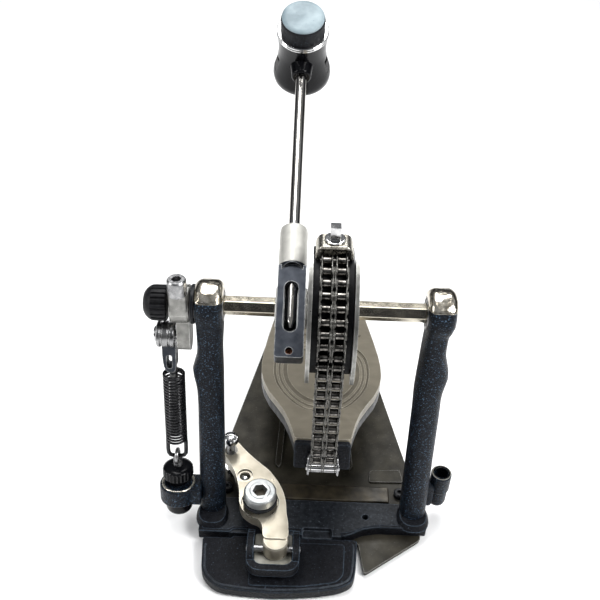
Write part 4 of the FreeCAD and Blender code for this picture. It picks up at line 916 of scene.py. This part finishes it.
# ---------------------------------------------------------------------- beater
put("beater_rod_skin", lathe([(0, -20.2), (1.2, -20.0), (4, -13.2), (4, 214), (3, 216), (0, 216)], 48),
    ROD @ T(hx, -12, 0), "beater", M_ROD, ("beater_rod",), .2)
HUB = ROD @ T(hx, -12, 209) @ FWD            # local Z is the way the beater strikes
prof = [(0, -30), (14, -30), (17.6, -29.5), (20.4, -28), (22.0, -25.6), (22.4, -22.5), (22.2, -19.6), (21.2, -16), (20.0, -11),
        (18.9, -5), (18.2, 0), (18.0, 4), (18.1, 9), (18.5, 14), (19.0, 18), (0, 18)]
shell = lathe(prof, 96)
for s in (1, -1):
    shell = minus(shell, prism(rounded([(s * 15.5, -7), (s * 30, -7), (s * 30, 7), (s * 15.5, 7)], 1.5), -16, -3.5))
boss_ = moved(lathe([(0, 13), (7.4, 13), (7.4, 23.0), (6.4, 24.4), (0, 24.4)], 56), RX(90) if False else Matrix.Rotation(math.radians(90), 4, "X"))
put("beater_shell_skin", shell, HUB, "beater", M_PLASTIC, ("beater_shell",), .7, 3, 34)
core = minus(cyl(14.9, -17.5, -2.2, 64), moved(box(-3, 3, -30, 30, -40, 40), I4))
put("beater_core", core, HUB, "beater", M_PALE, (), .3)
boss_.free()
# arched collar where the rod enters the shell
put("rod_entry_collar", lathe([(4.05, -26.4), (6.4, -26.4), (7.4, -25.4), (8.2, -20), (9.4, -13), (4.05, -13)], 56, closed=True),
    ROD @ T(hx, -12, 209), "beater", M_PLASTIC, (), .5)
marks = []
for s in (1, -1):
    marks.append(moved(torus(3.0, .35, 40, 8), T(s * 9.4, -17.0, -8) @ RX(90) @ RY(s * 30)))
joined(*marks).free()
put("beater_ring_skin", lathe([(16.4, 18), (18.6, 18), (19.2, 18.4), (19.2, 19.4), (18.7, 19.8), (18.7, 20.0), (19.2, 20.4),
                               (19.2, 21.4), (18.6, 21.8), (16.4, 21.8)], 96, closed=True), HUB, "beater", M_CHROME,
    ("beater_ring",), .2)
put("beater_rubber_skin", lathe([(0, 18.2), (16.3, 18.2), (16.3, 31.5), (16.0, 33), (15.3, 34), (0, 34)], 96), HUB, "beater",
    M_RUBBER, ("beater_rubber",), .4)
put("beater_face_skin", lathe([(0, 33.8), (15.6, 33.8), (15.6, 34.5), (15.0, 35.1), (12, 35.4), (6, 35.5), (0, 35.5)], 96), HUB,
    "beater", M_FACE, ("beater_face",))

# ------------------------------------------------------------------- footboard
half = [(20, -271), (21.5, -262), (24.5, -248), (28.5, -234), (34.5, -220), (41, -206), (46, -190), (48.8, -174),
        (49.6, -156), (49, -136), (47, -108), (43.5, -70), (40, -30), (38.5, -9)]
bx = 3.0
board_pts = [(bx + x, y) for x, y in half] + [(bx + 38, -11), (bx + 19.2, -11), (bx + 19.2, 6), (bx - 19.2, 6),
                                             (bx - 19.2, -11), (bx - 38, -11)] + [(bx - x, y) for x, y in reversed(half)]
inlay_half = [(12, -232), (22, -222), (30, -208), (36, -192), (39, -174), (39.5, -156), (38, -140), (33, -126),
              (22, -115), (10, -111)]
inlay_pts = [(bx + x, y) for x, y in inlay_half] + [(bx - x, y) for x, y in reversed(inlay_half)]


def scaled(pts, f, c=(3.0, -170.0)):
    return [(c[0] + (x - c[0]) * f, c[1] + (y - c[1]) * f) for x, y in pts]


top = prism(rounded(board_pts, 3, 4), 0, 5.5)
top = minus(top, prism(rounded(inlay_pts, 6, 5), 3.9, 9),
            moved(cyl(3.06, -80, 80, 32), ALX))
put("footboard_skin", top, BOARD, "footboard", M_CHAMP, ("footboard",), 1.25, 4, 34)
put("footboard_barrel", moved(tube(7, 3.06, bx - 19.1, bx + 19.1, 64), ALX), BOARD, "footboard", M_CHAMPDARK, (),
    .6)
base_in = prism(rounded(scaled(inlay_pts, .985), 6, 5), 3.9, 4.35)
put("board_inlay_floor", base_in, BOARD, "footboard", M_CHAMPDARK, ("board_inlay",), .2)
rings_ = []
for f0, f1, h in ((.955, .90, 4.75), (.86, .80, 4.75)):
    rings_.append(minus(prism(rounded(scaled(inlay_pts, f0), 6, 5), 4.1, h), prism(rounded(scaled(inlay_pts, f1), 6, 5), 3, 9)))
rings_.append(prism(rounded(scaled(inlay_pts, .72), 8, 6), 4.1, 4.8))
put("board_inlay_rings", joined(*rings_), BOARD, "footboard", M_CHAMP, (), .28)
grips = []
for k in range(6):
    y = -100 + 13 * k
    w = 40 - (k * 1.1)
    for s in (-1, 1):
        grips.append(prism(rounded([(bx + s * 4, y), (bx + s * (w - 6), y), (bx + s * (w - 3), y + 4), (bx + s * 4, y + 4)], 1.6), 5.3, 6.4))
put("board_grips", joined(*grips), BOARD, "footboard", M_CHAMPDARK, (), .4)
skirt = [(x - .25, y) for x, y in half[:13]]
outer = [(bx + x, y) for x, y in skirt] + [(bx + 36, -14), (bx - 36, -14)] + [(bx - x, y) for x, y in reversed(skirt)]
put("board_skirt_skin", prism(rounded(outer, 3, 4), -8, -.03), BOARD, "footboard", M_BLACKMETAL, ("board_skirt",),
    1.0)
put("board_seam", prism(rounded([(3 + (x - 3) * 1.004, y) for x, y in outer], 3, 4), -1.1, -.04), BOARD, "footboard", M_BORE, (),
    .2)
put("toe_block_skin", moved(prism(rounded([(bx - 20, -16), (bx + 20, -16), (bx + 20, 4.5), (bx - 20, 4.5)], 2.5), -276.5, -271.1), XZY),
    BOARD, "footboard", M_CRINKLE, ("toe_block",), 1.2)
anc = union(box(-7.4, 14.4, -278.6, -276.6, -17.4, -2.6),
            moved(prism(rounded([(-288, -14), (-288, -6), (-284, -2.6), (-277, -2.6), (-277, -15.4), (-284, -15.4)], [3, 4, 4, 0, 0, 3]), -7.4, -6.0), YZX),
            moved(prism(rounded([(-288, -14), (-288, -6), (-284, -2.6), (-277, -2.6), (-277, -15.4), (-284, -15.4)], [3, 4, 4, 0, 0, 3]), 13.0, 14.4), YZX))
put("chain_anchor_skin", anc, BOARD, "footboard", M_STEEL, ("chain_anchor",), .4)
put("anchor_pin_skin", lathe([(0, -8.1), (1.9, -8.1), (2.3, -7.7), (2.3, 14.7), (1.9, 15.1), (0, 15.1)], 40),
    BOARD @ T(0, -283.1, -10.4) @ ALX, "footboard", M_CHROME, ("chain_anchor_pin",))

# the coil is taken off its body and its placement is baked into the mesh
bpy.context.view_layer.update()
m_ = coil_obj.matrix_world.copy()
coil_obj.parent = None
coil_obj.matrix_world = m_
del coil_obj["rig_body"]
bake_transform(coil_obj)

# --------------------------------------------------------- floor, light, camera
floor_bm = bmesh.new()
bmesh.ops.create_grid(floor_bm, x_segments=1, y_segments=1, size=6)
me = bpy.data.meshes.new("floor")
floor_bm.to_mesh(me)
floor_bm.free()
floor = bpy.data.objects.new("floor", me)
bpy.context.scene.collection.objects.link(floor)
floor.location = (0, 0, -0.0003)
fm, fnt, fb = shader("pale_floor")
fb.inputs["Base Color"].default_value = (.93, .93, .93, 1)
fb.inputs["Roughness"].default_value = .8
fb.inputs["Specular IOR Level"].default_value = .2
me.materials.append(fm)

world = bpy.data.worlds.new("studio")
bpy.context.scene.world = world
world.use_nodes = True
wt = world.node_tree
bg = wt.nodes["Background"]
tc = wt.nodes.new("ShaderNodeTexCoord")
sep = wt.nodes.new("ShaderNodeSeparateXYZ")
rmp = wt.nodes.new("ShaderNodeValToRGB")
mr = wt.nodes.new("ShaderNodeMapRange")
mr.inputs["From Min"].default_value = -1
mr.inputs["From Max"].default_value = 1
wt.links.new(tc.outputs["Generated"], sep.inputs[0])
wt.links.new(sep.outputs["Z"], mr.inputs["Value"])
wt.links.new(mr.outputs[0], rmp.inputs["Fac"])
wt.links.new(rmp.outputs[0], bg.inputs["Color"])
cr = rmp.color_ramp
cr.elements[0].position, cr.elements[0].color = 0.0, (.5, .5, .5, 1)
cr.elements[1].position, cr.elements[1].color = 1.0, (.95, .97, 1, 1)
for pos, c in ((.49, (.5, .5, .5)), (.52, (.10, .10, .11)), (.72, (.10, .105, .12)), (.84, (.75, .78, .82))):
    e = cr.elements.new(pos)
    e.color = (*c, 1)
bg.inputs["Strength"].default_value = .32


def area(name, loc, aim, size, power, size_y=None):
    d = bpy.data.lights.new(name, "AREA")
    d.energy, d.size = power, size
    if size_y:
        d.shape, d.size_y = "RECTANGLE", size_y
    o = bpy.data.objects.new(name, d)
    bpy.context.scene.collection.objects.link(o)
    o.location = loc
    o.rotation_euler = (Vector(aim) - Vector(loc)).to_track_quat("-Z", "Y").to_euler()
    return o


area("key_light", (.85, -.5, 1.15), (0, 0, .12), .55, 20)
area("fill_light", (-1.1, -.35, .8), (0, 0, .12), .3, 8, .8)
area("back_light", (.1, 1.0, 1.75), (0, .1, .1), 1.1, 22, .7)
area("top_light", (-.2, .35, 1.9), (0, .1, 0), .8, 16)

cd = bpy.data.cameras.new("camera")
cam = bpy.data.objects.new("camera", cd)
bpy.context.scene.collection.objects.link(cam)
cd.lens, cd.sensor_width = 48, 36
cd.clip_start = .01
el, roll = math.radians(38.5), math.radians(2.3)
fw = Vector((0, math.cos(el), -math.sin(el)))
u = Vector((0, math.sin(el), math.cos(el)))
cxv = math.cos(roll) * Vector((1, 0, 0)) + math.sin(roll) * u
cyv = -math.sin(roll) * Vector((1, 0, 0)) + math.cos(roll) * u
cam.matrix_world = Matrix(((cxv.x, cyv.x, -fw.x, -.0169), (cxv.y, cyv.y, -fw.y, -.4138), (cxv.z, cyv.z, -fw.z, .5260),
                           (0, 0, 0, 1)))
bpy.context.scene.camera = cam
bpy.context.scene.view_settings.view_transform = "Standard"

bpy.context.view_layer.update()
